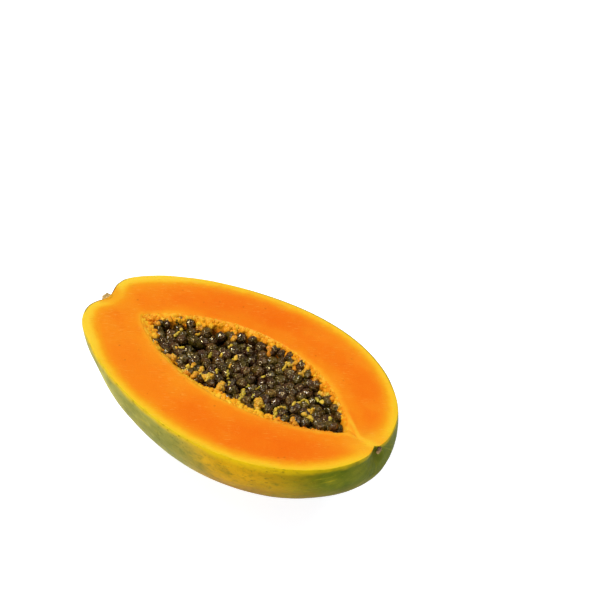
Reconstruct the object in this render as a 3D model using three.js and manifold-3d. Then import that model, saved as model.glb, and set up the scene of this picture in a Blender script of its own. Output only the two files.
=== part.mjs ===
// Half of a ripe papaya, cut lengthwise and lying on its rounded back with the cut face up.
//
// Frame: millimetres, +Z up. The origin is on the surface that the half lies on, under the middle of
// its bounding box. +X runs along the fruit from the stem end to the blossom end.
//
// The half is three pieces:
//   fruit_half  peel, flesh and the fibrous placenta that lines the seed cavity, grown as one
//   seed_mass   the seeds in their dark wet coats, packed together into one clump in the cavity
//   stem_stub   the corky stump of the stalk, set in the dimple at the stem end and cut through with it
import * as THREE from "three";
import { mergeVertices } from "three/addons/utils/BufferGeometryUtils.js";
import Module from "manifold-3d";

const wasm = await Module();
wasm.setup();

// ---- Driving dimensions, in millimetres unless the name says otherwise ----

const MIDDLE = { x: -0.7, y: -0.3 }; // the fruit's middle, set so that the origin is under the box's
const HALF_LENGTH = 99.3; // from the middle to either end, before the dimples
// The outline at the fruit's widest level, as radii from the middle, every 15 degrees from the blossom
// end (0) round to the stem end (180). Both sides are alike.
const OUTLINE_RADII = [99.3, 94.9, 84.7, 74.7, 66.9, 61.7, 59.2, 59.3, 62.3, 68.9, 79.8, 93.5, 99.2];
const FACE_Z = 54; // height of the cut face
const WIDEST_BELOW_FACE = 6.1; // the knife passed a little above the fruit's widest level
const DEPTH_RATIO = 0.82; // depth of the fruit below that level, as a share of its half width
const BOW = 0.8; // both ends bend this far towards -Y
const LOBES = 5; // shallow ridges along the fruit, one for each of its five carpels
const LOBE_HEIGHT = 0.4;
const LOBE_TURN = 0.6; // where the first ridge stands, in radians

const STEM_DIMPLE = { side: -1, depth: 6.4, radius: 9, y: -3.9, belowFace: 2.5 };
const BLOSSOM_DIMPLE = { side: 1, depth: 2.8, radius: 6, y: -2.9, belowFace: 5.8 };

// The seed cavity is a lens in plan, fuller than a parabola, and its ends bend towards -Y by endBend.
const CAVITY = { x: 5.3, y: 1.3, halfLength: 73, halfWidth: 27.2, fullness: 0.8, endBend: 3.9 };
const CAVITY_DEPTH = 24;
const FLOOR_FULLNESS = 0.7; // how fast the floor drops from the two ends
const WALL_STEEPNESS = 2.4;

// The cavity's wall starts with a shallow fibrous ledge, which is wider at the stem end.
const LEDGE = { width: 3.3, drop: 2.1, wallFrom: 0.8, stemExtra: 5, stemFrom: 0.55 };

const SEEDS = { count: 140, least: 2.75, most: 3.4, stemward: 61.5, blossomward: 69, wallGap: -0.9 };
const SEED_TOPS = { belowFace: 0.3, spread: 2.3 };
const SEED_STRETCH = [1.1, 0.95, 1.0]; // seeds are slightly egg-shaped
const SEED_BED_BELOW_FACE = 5.4; // top of the clump's core, which every seed is sunk into
const SETTLING_STEPS = 120; // rounds of pushing the seeds apart
const CLEARANCE = 0.35; // between the seed clump, the stub and the fruit

// Soft lumps of placenta along the ledge.
const LUMPS = { spacing: 4.4, least: 1.1, most: 1.8, sunk: 0.35, endMargin: 8, belowFace: 0.2 };
const LUMP_STRETCH = [1.5, 0.9, 1.0];

const STUB = { radius: 4.1, tipRadius: 3.4, standsOut: 1.7, sunk: 2.6, belowFace: 2.2 };
const STUB_FLUTES = { count: 5, height: 0.03 }; // height is a share of the radius
const SCAR = { radius: 1.7, standsOut: 0.9 }; // dried remains of the flower in the blossom dimple

const SKIN_SEGMENTS = 76;
const SKIN_RINGS = 20;
const END_CROWDING = 0.28; // crowds the segments towards the two ends, where the dimples are
const CAVITY_SEGMENTS = 52;
const CAVITY_RINGS = 10;
const SEED_SEGMENTS = 7;
const SEED_RINGS = 4;
const STUB_SEGMENTS = 24;

const SEED_DRAW = 7; // start of the random draw that places the seeds
const LUMP_DRAW = 11;
const HALVINGS = 30; // steps of each search by halving
const FAR = 4 * HALF_LENGTH; // reaches past the whole fruit
const OVERSHOOT = 6; // how far the cavity's cutting shape stands above the cut face

// ---- Repeatable random draws ----

function randomSource(seed) {
  let state = seed >>> 0;
  return () => {
    state = (state + 0x6d2b79f5) >>> 0;
    let t = state;
    t = Math.imul(t ^ (t >>> 15), t | 1);
    t ^= t + Math.imul(t ^ (t >>> 7), t | 61);
    return ((t ^ (t >>> 14)) >>> 0) / 4294967296;
  };
}

const between = (range, share) => range.least + (range.most - range.least) * share;
const clamp = THREE.MathUtils.clamp;

// The largest value from low up to high for which holds(value) is still true.
function lastWhere(low, high, holds) {
  for (let i = 0; i < HALVINGS; i++) {
    const middle = (low + high) / 2;
    if (holds(middle)) low = middle;
    else high = middle;
  }
  return low;
}

// ---- The fruit's surfaces, as functions ----

// The outline's radius at an angle in radians, on a Catmull-Rom curve that is even at both ends.
function outlineRadius(angle) {
  const last = OUTLINE_RADII.length - 1;
  const at = (angle / Math.PI) * last;
  const i = Math.min(Math.floor(at), last - 1);
  const t = at - i;
  const radius = (k) => OUTLINE_RADII[k < 0 ? -k : k > last ? 2 * last - k : k];
  const [a, b, c, d] = [i - 1, i, i + 1, i + 2].map(radius);
  return b + (t / 2) * (c - a + t * (2 * a - 5 * b + 4 * c - d + t * (3 * (b - c) + d - a)));
}

// How far a dimple moves the skin along X.
function dimpleAt(dimple, x, y, z) {
  if (x * dimple.side < 0) return 0;
  const off = Math.hypot(y - dimple.y, z - (FACE_Z - dimple.belowFace)) / dimple.radius;
  return -dimple.side * dimple.depth * Math.exp(-off * off);
}

// A point on the skin, in the direction given by an azimuth and a rise from the fruit's middle.
function skinPoint(azimuth, rise) {
  const dx = Math.cos(azimuth) * Math.cos(rise);
  const dy = Math.sin(azimuth) * Math.cos(rise);
  const dz = Math.sin(rise);
  const lobe = LOBE_HEIGHT * Math.cos(LOBES * Math.atan2(dz, dy) + LOBE_TURN) * (1 - dx * dx);
  const r = outlineRadius(Math.acos(clamp(dx, -1, 1))) + lobe;
  const x = MIDDLE.x + r * dx;
  const y = MIDDLE.y + r * dy - BOW * (x / HALF_LENGTH) ** 2;
  const z = FACE_Z - WIDEST_BELOW_FACE + DEPTH_RATIO * r * dz;
  return new THREE.Vector3(x + dimpleAt(STEM_DIMPLE, x, y, z) + dimpleAt(BLOSSOM_DIMPLE, x, y, z), y, z);
}

// The rise at which the skin reaches the cut face.
const rimRise = (azimuth) => lastWhere(0, Math.PI / 3, (rise) => skinPoint(azimuth, rise).z < FACE_Z);

// The line along X that the cavity is even about.
const cavityLine = (x) => CAVITY.y - CAVITY.endBend * ((x - CAVITY.x) / CAVITY.halfLength) ** 2;

// Half the cavity's width at x, with its outline drawn in by inset.
function cavityHalfWidth(x, inset = 0) {
  const u = (x - CAVITY.x) / (CAVITY.halfLength - inset);
  return (CAVITY.halfWidth - inset) * Math.max(0, 1 - u * u) ** CAVITY.fullness;
}

// How far the cavity's outline is from its middle in plan, at an azimuth.
function cavityReach(azimuth, inset) {
  const [c, s] = [Math.cos(azimuth), Math.abs(Math.sin(azimuth))];
  const inside = (reach) => reach * s < cavityHalfWidth(CAVITY.x + reach * c, inset);
  return lastWhere(0, CAVITY.halfLength, inside);
}

// How wide the ledge is at x.
function ledgeWidth(x) {
  const stemward = (CAVITY.x - x) / CAVITY.halfLength;
  return LEDGE.width + LEDGE.stemExtra * THREE.MathUtils.smoothstep(stemward, LEDGE.stemFrom, 1);
}

// How far the cavity's wall is below the cut face, at a distance in from its outline.
function cavityDrop(x, inward) {
  const wallFrom = LEDGE.wallFrom * ledgeWidth(x);
  const u = (x - CAVITY.x) / CAVITY.halfLength;
  const share = clamp((inward - wallFrom) / Math.max(cavityHalfWidth(x) - wallFrom, 1e-6), 0, 1);
  const floor = (CAVITY_DEPTH - LEDGE.drop) * Math.max(0, 1 - u * u) ** FLOOR_FULLNESS;
  return LEDGE.drop * Math.min(1, inward / ledgeWidth(x)) + floor * (1 - (1 - share) ** WALL_STEEPNESS);
}

// ---- Geometries and solids ----

// A closed three.js geometry as a manifold-3d solid.
function solid(geometry) {
  const bare = geometry.clone();
  bare.deleteAttribute("normal");
  bare.deleteAttribute("uv");
  const merged = mergeVertices(bare, 1e-4);
  return new wasm.Manifold(
    new wasm.Mesh({
      numProp: 3,
      vertProperties: merged.attributes.position.array,
      triVerts: new Uint32Array(merged.index.array),
    }),
  );
}

// A manifold-3d solid as a three.js geometry.
function geometryOf(shape) {
  const mesh = shape.getMesh();
  const geometry = new THREE.BufferGeometry();
  geometry.setAttribute("position", new THREE.BufferAttribute(mesh.vertProperties, 3));
  geometry.setIndex(new THREE.BufferAttribute(mesh.triVerts, 1));
  geometry.computeVertexNormals();
  return geometry;
}

// Moves every vertex of a geometry to where place(vertex) says.
function reshape(geometry, place) {
  const position = geometry.getAttribute("position");
  const v = new THREE.Vector3();
  for (let i = 0; i < position.count; i++) {
    const moved = place(v.fromBufferAttribute(position, i));
    position.setXYZ(i, moved.x, moved.y, moved.z);
  }
  return geometry;
}

// A block that takes away everything between two heights.
function slab(low, high) {
  return solid(new THREE.BoxGeometry(FAR, FAR, high - low).translate(0, 0, (low + high) / 2));
}

const above = (z) => slab(z, z + FAR);

const join = (solids) => solids.reduce((all, one) => all.add(one));

// The largest body of a solid: pockets that joining has sealed are filled, and loose scraps dropped.
const oneBody = (shape) => shape.decompose().reduce((a, b) => (a.volume() > b.volume() ? a : b));

// ---- The fruit ----

// The fruit without its cavity: a sphere's rings become rings of skin, and its top ring the rim.
function fruitBody() {
  const sphere = new THREE.SphereGeometry(1, SKIN_SEGMENTS, SKIN_RINGS + 1).rotateX(Math.PI / 2);
  const topRing = Math.PI * (1 - 1 / (SKIN_RINGS + 1));
  const tiny = 1e-4;
  const rims = new Map();
  return reshape(sphere, (v) => {
    const fromBottom = Math.acos(clamp(-v.z, -1, 1));
    if (fromBottom > topRing + tiny) return new THREE.Vector3(0, 0, FACE_Z);
    const even = Math.atan2(v.y, v.x);
    const azimuth = even - END_CROWDING * Math.sin(2 * even);
    const key = azimuth.toFixed(5);
    if (!rims.has(key)) rims.set(key, rimRise(azimuth));
    const share = fromBottom / topRing;
    const point = skinPoint(azimuth, share * (rims.get(key) + Math.PI / 2) - Math.PI / 2);
    if (share > 1 - tiny) point.z = FACE_Z;
    return point;
  });
}

// The cavity, drawn in by gap on every side: a sphere whose lower half follows the cavity's wall, and
// whose upper half stands above the cut face.
function cavitySpace(gap) {
  const sphere = new THREE.SphereGeometry(1, CAVITY_SEGMENTS, 2 * CAVITY_RINGS).rotateX(Math.PI / 2);
  return solid(
    reshape(sphere, (v) => {
      const azimuth = Math.atan2(v.y, v.x);
      const reach = cavityReach(azimuth, gap) * Math.hypot(v.x, v.y);
      const x = CAVITY.x + reach * Math.cos(azimuth);
      const off = reach * Math.sin(azimuth);
      const inward = Math.max(0, cavityHalfWidth(x, gap) - Math.abs(off));
      const level = Math.abs(v.z) < 1e-6;
      const below = level ? 0 : Math.max(0, cavityDrop(x, inward) - gap);
      return new THREE.Vector3(x, off + cavityLine(x), FACE_Z + (v.z > 0 ? OVERSHOOT * v.z : -below));
    }),
  );
}

// The lumps on the ledge, each swollen by grow.
function placentaLumps(grow) {
  const random = randomSource(LUMP_DRAW);
  const reach = CAVITY.halfLength - LUMPS.endMargin;
  const lumps = [];
  for (let along = -reach; along < reach; along += LUMPS.spacing) {
    for (const side of [-1, 1]) {
      const radius = between(LUMPS, random());
      const x = CAVITY.x + along + (random() - 0.5) * LUMPS.spacing;
      const inward = radius + 0.5 + random() * Math.max(0, ledgeWidth(x) - 2 * radius - 0.6);
      const y = side * (cavityHalfWidth(x) - inward) + cavityLine(x);
      const z = FACE_Z - cavityDrop(x, inward) - LUMPS.sunk * radius;
      const lump = new THREE.IcosahedronGeometry(radius + grow, 0).scale(...LUMP_STRETCH);
      lumps.push(solid(lump.rotateY(random()).rotateZ(random() * Math.PI).translate(x, y, z)));
    }
  }
  return join(lumps);
}

// A knot of dried flower in the blossom dimple.
function flowerScar() {
  const x = MIDDLE.x + HALF_LENGTH - BLOSSOM_DIMPLE.depth + SCAR.standsOut - SCAR.radius;
  const knot = new THREE.IcosahedronGeometry(SCAR.radius, 1);
  return solid(knot.translate(x, BLOSSOM_DIMPLE.y, FACE_Z - BLOSSOM_DIMPLE.belowFace));
}

// The stub's whole stump, before the knife. grow widens it into the socket that it sits in.
function stump(grow) {
  const length = STUB.standsOut + STUB.sunk + grow;
  const [tip, foot] = [STUB.tipRadius + grow, STUB.radius + grow];
  const peg = new THREE.CylinderGeometry(tip, foot, length, STUB_SEGMENTS, 2);
  reshape(peg, (v) => {
    const flute = 1 + STUB_FLUTES.height * Math.cos(STUB_FLUTES.count * Math.atan2(v.z, v.x));
    return v.set(v.x * flute, v.y, v.z * flute);
  });
  const dimpleFloor = MIDDLE.x - HALF_LENGTH + STEM_DIMPLE.depth;
  const middle = dimpleFloor + (STUB.sunk + grow - STUB.standsOut) / 2;
  return solid(peg.rotateZ(Math.PI / 2).translate(middle, STEM_DIMPLE.y, FACE_Z - STUB.belowFace));
}

function fruitHalf() {
  const halved = solid(fruitBody()).subtract(slab(-FAR, 0)).subtract(cavitySpace(0));
  const lumps = placentaLumps(0).subtract(above(FACE_Z - LUMPS.belowFace));
  return oneBody(halved.add(lumps).add(flowerScar()).subtract(stump(CLEARANCE)));
}

const stemStub = () => stump(0).subtract(above(FACE_Z));

// ---- The seeds ----

// Where the seeds lie: dropped at random in the cavity, then pushed apart until they lie side by side.
// y is measured from the cavity's line.
function seedBed() {
  const random = randomSource(SEED_DRAW);
  const [first, last] = [CAVITY.x - SEEDS.stemward, CAVITY.x + SEEDS.blossomward];
  const room = (x, radius) => cavityHalfWidth(x) - ledgeWidth(x) - radius - SEEDS.wallGap;
  const seeds = [];
  while (seeds.length < SEEDS.count) {
    const x = first + (last - first) * random();
    const y = (2 * random() - 1) * CAVITY.halfWidth;
    const radius = between(SEEDS, random());
    if (Math.abs(y) < room(x, radius)) seeds.push({ x, y, radius, lift: random(), turn: random() });
  }
  for (let step = 0; step < SETTLING_STEPS; step++) {
    for (let i = 1; i < seeds.length; i++) {
      for (let j = 0; j < i; j++) part(seeds[j], seeds[i]);
    }
    for (const seed of seeds) {
      seed.x = clamp(seed.x, first, last);
      const limit = Math.max(0, room(seed.x, seed.radius));
      seed.y = clamp(seed.y, -limit, limit);
    }
  }
  return seeds;
}

// Pushes two overlapping seeds apart, each by half of their overlap.
function part(a, b) {
  const apart = Math.hypot(b.x - a.x, b.y - a.y) || 1e-6;
  const push = (a.radius + b.radius - apart) / 2;
  if (push <= 0) return;
  const [ux, uy] = [((b.x - a.x) / apart) * push, ((b.y - a.y) / apart) * push];
  a.x -= ux;
  a.y -= uy;
  b.x += ux;
  b.y += uy;
}

function seedSolid({ x, y, radius, lift, turn }) {
  const top = FACE_Z - SEED_TOPS.belowFace - SEED_TOPS.spread * lift;
  const seed = new THREE.SphereGeometry(radius, SEED_SEGMENTS, SEED_RINGS).rotateX(Math.PI / 2);
  seed.scale(...SEED_STRETCH).rotateZ(2 * Math.PI * turn);
  return solid(seed.translate(x, y + cavityLine(x), top - radius));
}

function seedMass() {
  const space = cavitySpace(CLEARANCE).subtract(placentaLumps(CLEARANCE));
  const core = space.subtract(above(FACE_Z - SEED_BED_BELOW_FACE));
  return oneBody(core.add(join(seedBed().map(seedSolid)).intersect(space)));
}

// ---- The model ----

function finish(color, roughness) {
  return new THREE.MeshStandardMaterial({ color, roughness, metalness: 0 });
}

function piece(name, shape, material) {
  const mesh = new THREE.Mesh(geometryOf(shape), material);
  mesh.name = name;
  return mesh;
}

const papaya = new THREE.Group();
papaya.add(piece("fruit_half", fruitHalf(), finish("#f58a1f", 0.45)));
papaya.add(piece("seed_mass", seedMass(), finish("#2c251b", 0.3)));
papaya.add(piece("stem_stub", stemStub(), finish("#a98a58", 0.85)));

export default papaya;
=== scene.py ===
"""Looks of a halved ripe papaya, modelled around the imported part.

The file is laid out as an add-on and run as a script. Sizes in the constants are millimetres, as in
the part, unless a name says otherwise; meshes are in metres, in the part's own frame: +X runs from
the stem end to the blossom end, and +Z up out of the cut face.
"""

import math
import random
from types import SimpleNamespace as Sizes

import bmesh
import bpy
from bpy.props import FloatProperty, FloatVectorProperty, PointerProperty
from mathutils import Euler, Matrix, Vector, kdtree, noise


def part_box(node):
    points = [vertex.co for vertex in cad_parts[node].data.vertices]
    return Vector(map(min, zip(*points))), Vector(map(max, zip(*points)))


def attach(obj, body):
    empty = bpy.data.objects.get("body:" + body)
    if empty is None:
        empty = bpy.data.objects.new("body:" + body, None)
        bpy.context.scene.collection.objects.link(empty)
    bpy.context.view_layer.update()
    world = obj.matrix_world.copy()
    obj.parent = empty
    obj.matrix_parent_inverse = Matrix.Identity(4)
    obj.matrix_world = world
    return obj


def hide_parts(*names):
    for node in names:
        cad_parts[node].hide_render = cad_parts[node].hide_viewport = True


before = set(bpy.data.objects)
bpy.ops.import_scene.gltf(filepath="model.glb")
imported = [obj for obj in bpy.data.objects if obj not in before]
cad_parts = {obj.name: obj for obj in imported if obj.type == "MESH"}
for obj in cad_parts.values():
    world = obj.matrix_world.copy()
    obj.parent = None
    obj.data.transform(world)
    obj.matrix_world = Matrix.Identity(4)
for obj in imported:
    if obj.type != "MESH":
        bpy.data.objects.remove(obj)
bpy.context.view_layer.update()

bl_info = {
    "name": "Halved Papaya",
    "version": (1, 0, 0),
    "blender": (4, 5, 0),
    "location": "3D View > Sidebar > Papaya",
    "description": "Models the flesh, peel, seeds, placenta and stem stub of a papaya half",
    "category": "Mesh",
}

MM = 0.001
BODY = "root"

# ---- The part's own driving sizes ----

MIDDLE = (-0.7, -0.3)
HALF_LENGTH = 99.3
OUTLINE_RADII = (  # from the blossom end to the stem end, at even angles
    99.3, 94.9, 84.7, 74.7, 66.9, 61.7, 59.2, 59.3, 62.3, 68.9, 79.8, 93.5, 99.2,
)
FRUIT_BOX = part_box("fruit_half")
FACE_Z = FRUIT_BOX[1].z / MM
SKIN_ENDS = (FRUIT_BOX[0].x / MM + 0.05, FRUIT_BOX[1].x / MM - 0.05)
WIDEST_BELOW_FACE = 6.1
DEPTH_RATIO = 0.82
BOW = 0.8  # how far the ends lie to the near side of the middle
LOBES = 5
LOBE_HEIGHT = 0.4
LOBE_TURN = 0.6
STEM_DIMPLE = Sizes(side=-1, depth=6.4, radius=9, y=-3.9, below_face=2.5)
BLOSSOM_DIMPLE = Sizes(side=1, depth=2.8, radius=6, y=-2.9, below_face=5.8)
CAVITY = Sizes(x=5.3, y=1.3, half_length=73, half_width=27.2, fullness=0.8, end_bend=3.9)
CAVITY_DEPTH = 24
FLOOR_FULLNESS = 0.7
WALL_STEEPNESS = 2.4
LEDGE = Sizes(width=3.3, drop=2.1, wall_from=0.8, stem_extra=5, stem_from=0.55)
SEEDS = Sizes(draw=7, count=140, least=2.75, most=3.4, steps=120)
PILE = Sizes(stemward=61.5, blossomward=69, wall_gap=-0.9)
SEED_TOPS = Sizes(below_face=0.3, spread=2.3)
SEED_STRETCH = (1.1, 0.95, 1.0)
STUB = Sizes(radius=4.1, tip_radius=3.4, stands_out=1.7, sunk=2.6, below_face=2.2)
HALVINGS = 30  # steps of the search for an edge

# ---- The meshes' own sizes ----

AROUND = 560  # columns of the fruit's mesh
SKIN_RINGS = 74
FACE_RINGS = 40
WALL_RINGS = 34
RIM_RING = SKIN_RINGS + 1
LAST_FACE_RING = RIM_RING + FACE_RINGS
EDGE_STEPS = 10  # points for each column, where the way to an edge is measured
END_CROWDING = 0.28  # how much closer together the columns lie at the two ends
FACE_CROWDING, WALL_CROWDING = 0.13, 1.6  # how much closer together the rings lie at the edges
KNIFE_EDGE = 0.3  # how far the rim's corner is rounded
CORNER = Sizes(cut=0.3, towards_skin=0.15)  # the corner's own ring, as shares of the way
SEED_DETAIL, LUMP_DETAIL, GRAIN_DETAIL = 4, 3, 2  # how finely each kind of blob is divided
DEEP_SEEDS = Sizes(count=118, least=2.6, most=3.2, steps=40, layers=((101, 3.4), (202, 7.2)))

# ---- Forms that only the looks have ----

CLEFT = Sizes(begins=80, y=-1.8, lean=0.3, depth=2.0, steep=1.0, gentle=3.0, fades=(4, 17))
SCAR_KNOTS = (  # y, below the face, radius, lot
    (0.3, 2.3, 1.1, 0.0), (0.8, 3.9, 1.25, 0.35), (0.6, 5.6, 1.1, 0.95),
)
STUMP = Sizes(  # the stub's own form: it is flattened, lies aside and is drawn out at the tip
    columns=48, rings=8, flutes=5, flatness=0.66, aside=0.7, drawn_out=1.1, cut_below_face=0.15,
)
SEAM = Sizes(end=(94.0, -1.8), fork=85.0, far_slope=0.62, near_slope=0.15, begins=66)
SWELLS = (  # x, y, z, how far the skin stands out there, over what distance
    (94.5, 0, 32, 1.8, 18), (-66, -41, 39, -1.3, 15), (45, -45, 20, -0.8, 28),
)
SHOULDERS = Sizes(before=-70, near=1.4, far=1.5)  # fuller skin beside the stem's dimple
SKIN_RELIEF = Sizes(broad=0.28, ribs=0.22, small=0.07)
DIMPLE_FOLDS = ((STEM_DIMPLE, 9, 0.5), (BLOSSOM_DIMPLE, 7, 0.4))  # how many, and how deep
FACE_RELIEF = Sizes(waves=0.07, lip=0.15, groove=0.4, ridge=0.12)
EDGE_WANDER = Sizes(broad=0.45, small=0.22)  # of the cavity's outline
WALL_RELIEF = Sizes(grains=0.22, broad=0.35, small=0.1, down=0.25)
CLEAR_OF_FACE = 0.05  # what lies in the cavity stays this far below the face
SUNK = Sizes(gaps=4.2, dips=1.8, under_loose_seeds=3)  # how far the pile of seeds is sunk
UPPER_GROWTH, EDGE_GROWTH = (1.03, 1.2), (0.97, 1.08)  # of a seed's radius, from least to most
UPPER_WRINKLE, DEEP_WRINKLE = 1.7, 2.4  # how broad a seed's ridges are
NEAR_SIDE, FAR_SIDE = -1, 1
MOSTLY_FAR = (NEAR_SIDE, FAR_SIDE, FAR_SIDE)
GRAINS = Sizes(stem_count=60, stem_reach=(-66.5, -46), far_count=210, far_reach=(-46, 69))
CUSHIONS = Sizes(
    near_reach=(-60, 71), far_reach=(-40, 68),
    stem_count=22, stem_reach=(-66, -50), wide_count=16, wide_reach=(-43, -20),
)
FIBRE_RUNS = ((-56, -6, 3.2), (-6, 66, 4.0))  # from, to, and the step between fibres
SHREDS = Sizes(count=9, reach=(-50, 72))
PILE_FLOOR = 4.0  # how far below the face the strands may sink between seeds
DRAWS = Sizes(  # where each mesh's random draws start
    wall=1, loose_seeds=41, seeds=21, deep_seeds=5, grains=33, cushions=17, fibres=12, strands=8, scar=3,
)
HOLLOWS = (  # x, y and radius of the deep gaps in the pile of seeds
    (-28.5, 1.0, 4.2), (-20.4, 9.9, 3.8), (-12.9, 17.2, 2.4), (1.2, 8.6, 2.6), (17.2, 3.3, 3.4),
    (37.6, 12.1, 2.6), (47.0, 9.8, 2.6),
)
LOOSE_SEEDS = (  # x, y and radius, first along the far ledge, then along the near one
    (-57.0, 0.6, 2.4), (-53.8, 2.5, 2.4), (-50.6, 9.6, 2.7), (-43.8, 11.0, 3.0), (-32.4, 11.8, 3.3),
    (-24.2, 14.4, 3.0), (-15.0, 20.5, 3.3), (-8.2, 22.0, 2.6), (-1.7, 21.8, 3.6), (6.1, 25.2, 3.0),
    (11.2, 24.6, 2.6), (16.4, 25.3, 3.4), (24.8, 24.0, 3.6), (32.6, 21.9, 3.3), (41.2, 16.6, 3.3),
    (53.2, 12.4, 3.3), (59.8, 9.8, 3.0), (65.8, 5.8, 3.0), (-47.9, -12.4, 2.8), (-38.0, -14.9, 2.5),
    (-26.4, -17.0, 2.7), (-16.4, -19.1, 2.5), (-8.8, -17.9, 2.8), (-2.4, -17.8, 2.7), (9.7, -14.8, 3.3),
    (21.0, -16.0, 3.0), (34.2, -13.3, 3.3), (40.9, -11.0, 3.3), (45.5, -14.3, 2.4), (51.3, -11.8, 2.7),
    (54.9, -8.8, 3.0), (63.1, -5.4, 3.1), (68.7, -2.1, 2.8),
)
STRANDS = (  # x and y of three points that a strand of placenta runs through, its half width and its lot
    (-44.6, -1.0, -44.8, 0.3, -44.3, 1.6, 1.0, 0.75), (-45.0, 4.6, -45.4, 5.2, -45.7, 5.8, 1.0, 0.6),
    (-35.6, 6.9, -35.5, 7.6, -35.4, 8.6, 1.1, 0.5), (-38.9, 11.0, -38.0, 14.0, -36.0, 16.8, 1.8, 0.1),
    (-55.5, 6.1, -55.7, 7.1, -55.6, 7.7, 1.3, 0.4), (-54.0, 2.9, -54.2, 3.8, -53.3, 4.6, 1.1, 0.5),
    (-60.1, -1.1, -58.3, -1.8, -56.6, -1.6, 1.7, 0.05),
    (-34.4, -17.8, -31.7, -16.7, -28.7, -15.2, 1.7, 0.25),
    (-20.8, -21.2, -20.0, -17.4, -20.1, -13.3, 1.8, 0.45),
    (-19.4, -21.1, -17.1, -21.3, -14.3, -22.0, 1.7, 0.05),
    (-11.9, -15.9, -13.7, -13.2, -14.5, -10.7, 1.5, 0.5),
    (-12.1, -21.2, -12.9, -18.8, -13.3, -16.0, 1.7, 0.35),
    (-6.3, -17.4, -6.6, -14.6, -6.9, -12.7, 2.5, 0.5), (-18.1, -2.1, -17.6, -1.7, -17.6, -0.6, 0.8, 0.9),
    (-17.9, 16.4, -17.6, 17.2, -17.2, 18.1, 1.7, 0.25), (-13.6, 9.1, -13.2, 11.1, -13.7, 13.4, 1.1, 0.85),
    (-4.1, 13.9, -5.1, 15.1, -6.0, 16.6, 0.8, 0.9), (-4.4, -10.7, -5.5, -9.5, -6.6, -8.3, 0.8, 0.8),
    (-3.8, -1.8, -3.9, -0.9, -4.1, 0.1, 1.1, 0.6), (1.6, -8.7, 0.6, -7.5, -0.5, -6.3, 0.8, 1.0),
    (5.5, -12.7, 5.2, -11.9, 5.1, -11.0, 0.8, 0.8), (3.7, -21.3, 3.8, -18.2, 4.2, -14.8, 2.5, 0.3),
    (13.9, -9.8, 15.6, -12.4, 17.5, -17.8, 1.3, 0.75), (20.7, -11.1, 21.1, -10.8, 21.0, -9.9, 0.8, 0.9),
    (28.8, -16.4, 27.2, -13.8, 26.1, -11.7, 2.9, 0.35), (31.1, -13.5, 30.1, -12.3, 29.1, -11.2, 0.7, 0.9),
    (13.6, -7.0, 13.5, -6.0, 13.3, -5.1, 0.8, 1.0), (18.3, -5.1, 18.5, -3.8, 19.4, -3.2, 0.7, 1.0),
    (4.8, 20.2, 4.0, 22.8, 2.8, 25.0, 1.5, 0.1), (20.0, 14.9, 18.3, 19.3, 21.6, 20.4, 1.1, 0.55),
    (23.4, 19.9, 21.7, 23.7, 22.7, 26.6, 1.7, 0.15), (30.0, 17.0, 30.2, 19.3, 30.0, 21.2, 1.3, 0.4),
    (38.4, 17.8, 39.6, 20.4, 41.8, 22.8, 1.7, 0.2), (43.8, 20.3, 47.0, 18.9, 50.8, 16.0, 2.1, 0.4),
    (45.8, 13.8, 48.8, 13.3, 52.3, 13.2, 1.5, 0.45), (57.1, 12.3, 58.8, 12.7, 61.1, 11.5, 1.5, 0.3),
    (42.3, -17.8, 37.4, -11.2, 40.9, -7.3, 1.1, 0.7), (42.7, -3.8, 42.4, -1.1, 42.6, 1.1, 1.1, 0.7),
    (42.5, 2.0, 44.5, 3.7, 48.1, 2.7, 0.7, 0.8), (52.0, -2.0, 51.3, 0.4, 50.7, 2.9, 1.5, 0.5),
    (50.5, -5.1, 53.0, -4.0, 56.5, -5.0, 1.5, 0.6), (64.1, 0.3, 63.2, 1.5, 62.2, 2.7, 1.1, 0.95),
    (48.7, -12.5, 50.2, -13.2, 52.3, -14.4, 1.7, 0.1), (40.7, -18.3, 42.8, -18.4, 44.5, -18.0, 1.7, 0.35),
)

# ---- The stage ----

LIGHTS = (  # name, the direction towards it, how many degrees it is across, colour
    ("wash", (-0.42, -0.3, 1), 28, (1, 0.985, 0.96)),
    ("fill", (0.25, -1, 0.6), 35, (1, 1, 1)),
    ("back", (0.5, 0.9, 1.1), 30, (1, 1, 1)),
    ("glint", (-0.42, -0.28, 0.9), 9, (1, 1, 1)),
)
FLOOR = Sizes(half_width=20000, under_part=0.1, tones=((0.6,) * 3, (0.61,) * 3), glow=(0.92, 0.94, 1))
CAMERA = Sizes(
    place=(437.67, -471.19, 624.44),
    right=(0.7676, 0.64093, 0),
    up=(-0.40623, 0.48652, 0.77348),
)


# ---- Shapes as formulas ----


def clamp(value, low, high):
    return max(low, min(high, value))


def smoothstep(value, low, high):
    """0 at low and before it, 1 at high and after it. It may also run downwards."""
    share = clamp((value - low) / (high - low), 0, 1)
    return share * share * (3 - 2 * share)


def last_where(low, high, holds):
    """The largest value from low up to high for which holds(value) is still true."""
    for _ in range(HALVINGS):
        middle = (low + high) / 2
        if holds(middle):
            low = middle
        else:
            high = middle
    return low


def outline_radius(angle):
    """The outline's radius at an angle from the blossom end, in radians."""
    last = len(OUTLINE_RADII) - 1
    at = angle / math.pi * last
    i = min(int(at), last - 1)
    t = at - i
    a, b, c, d = (OUTLINE_RADII[last - abs(last - abs(k))] for k in (i - 1, i, i + 1, i + 2))
    return b + t / 2 * (c - a + t * (2 * a - 5 * b + 4 * c - d + t * (3 * (b - c) + d - a)))


def dimple_at(dimple, x, y, z):
    if x * dimple.side < 0:
        return 0
    off = math.hypot(y - dimple.y, z - (FACE_Z - dimple.below_face)) / dimple.radius
    return -dimple.side * dimple.depth * math.exp(-off * off)


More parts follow.
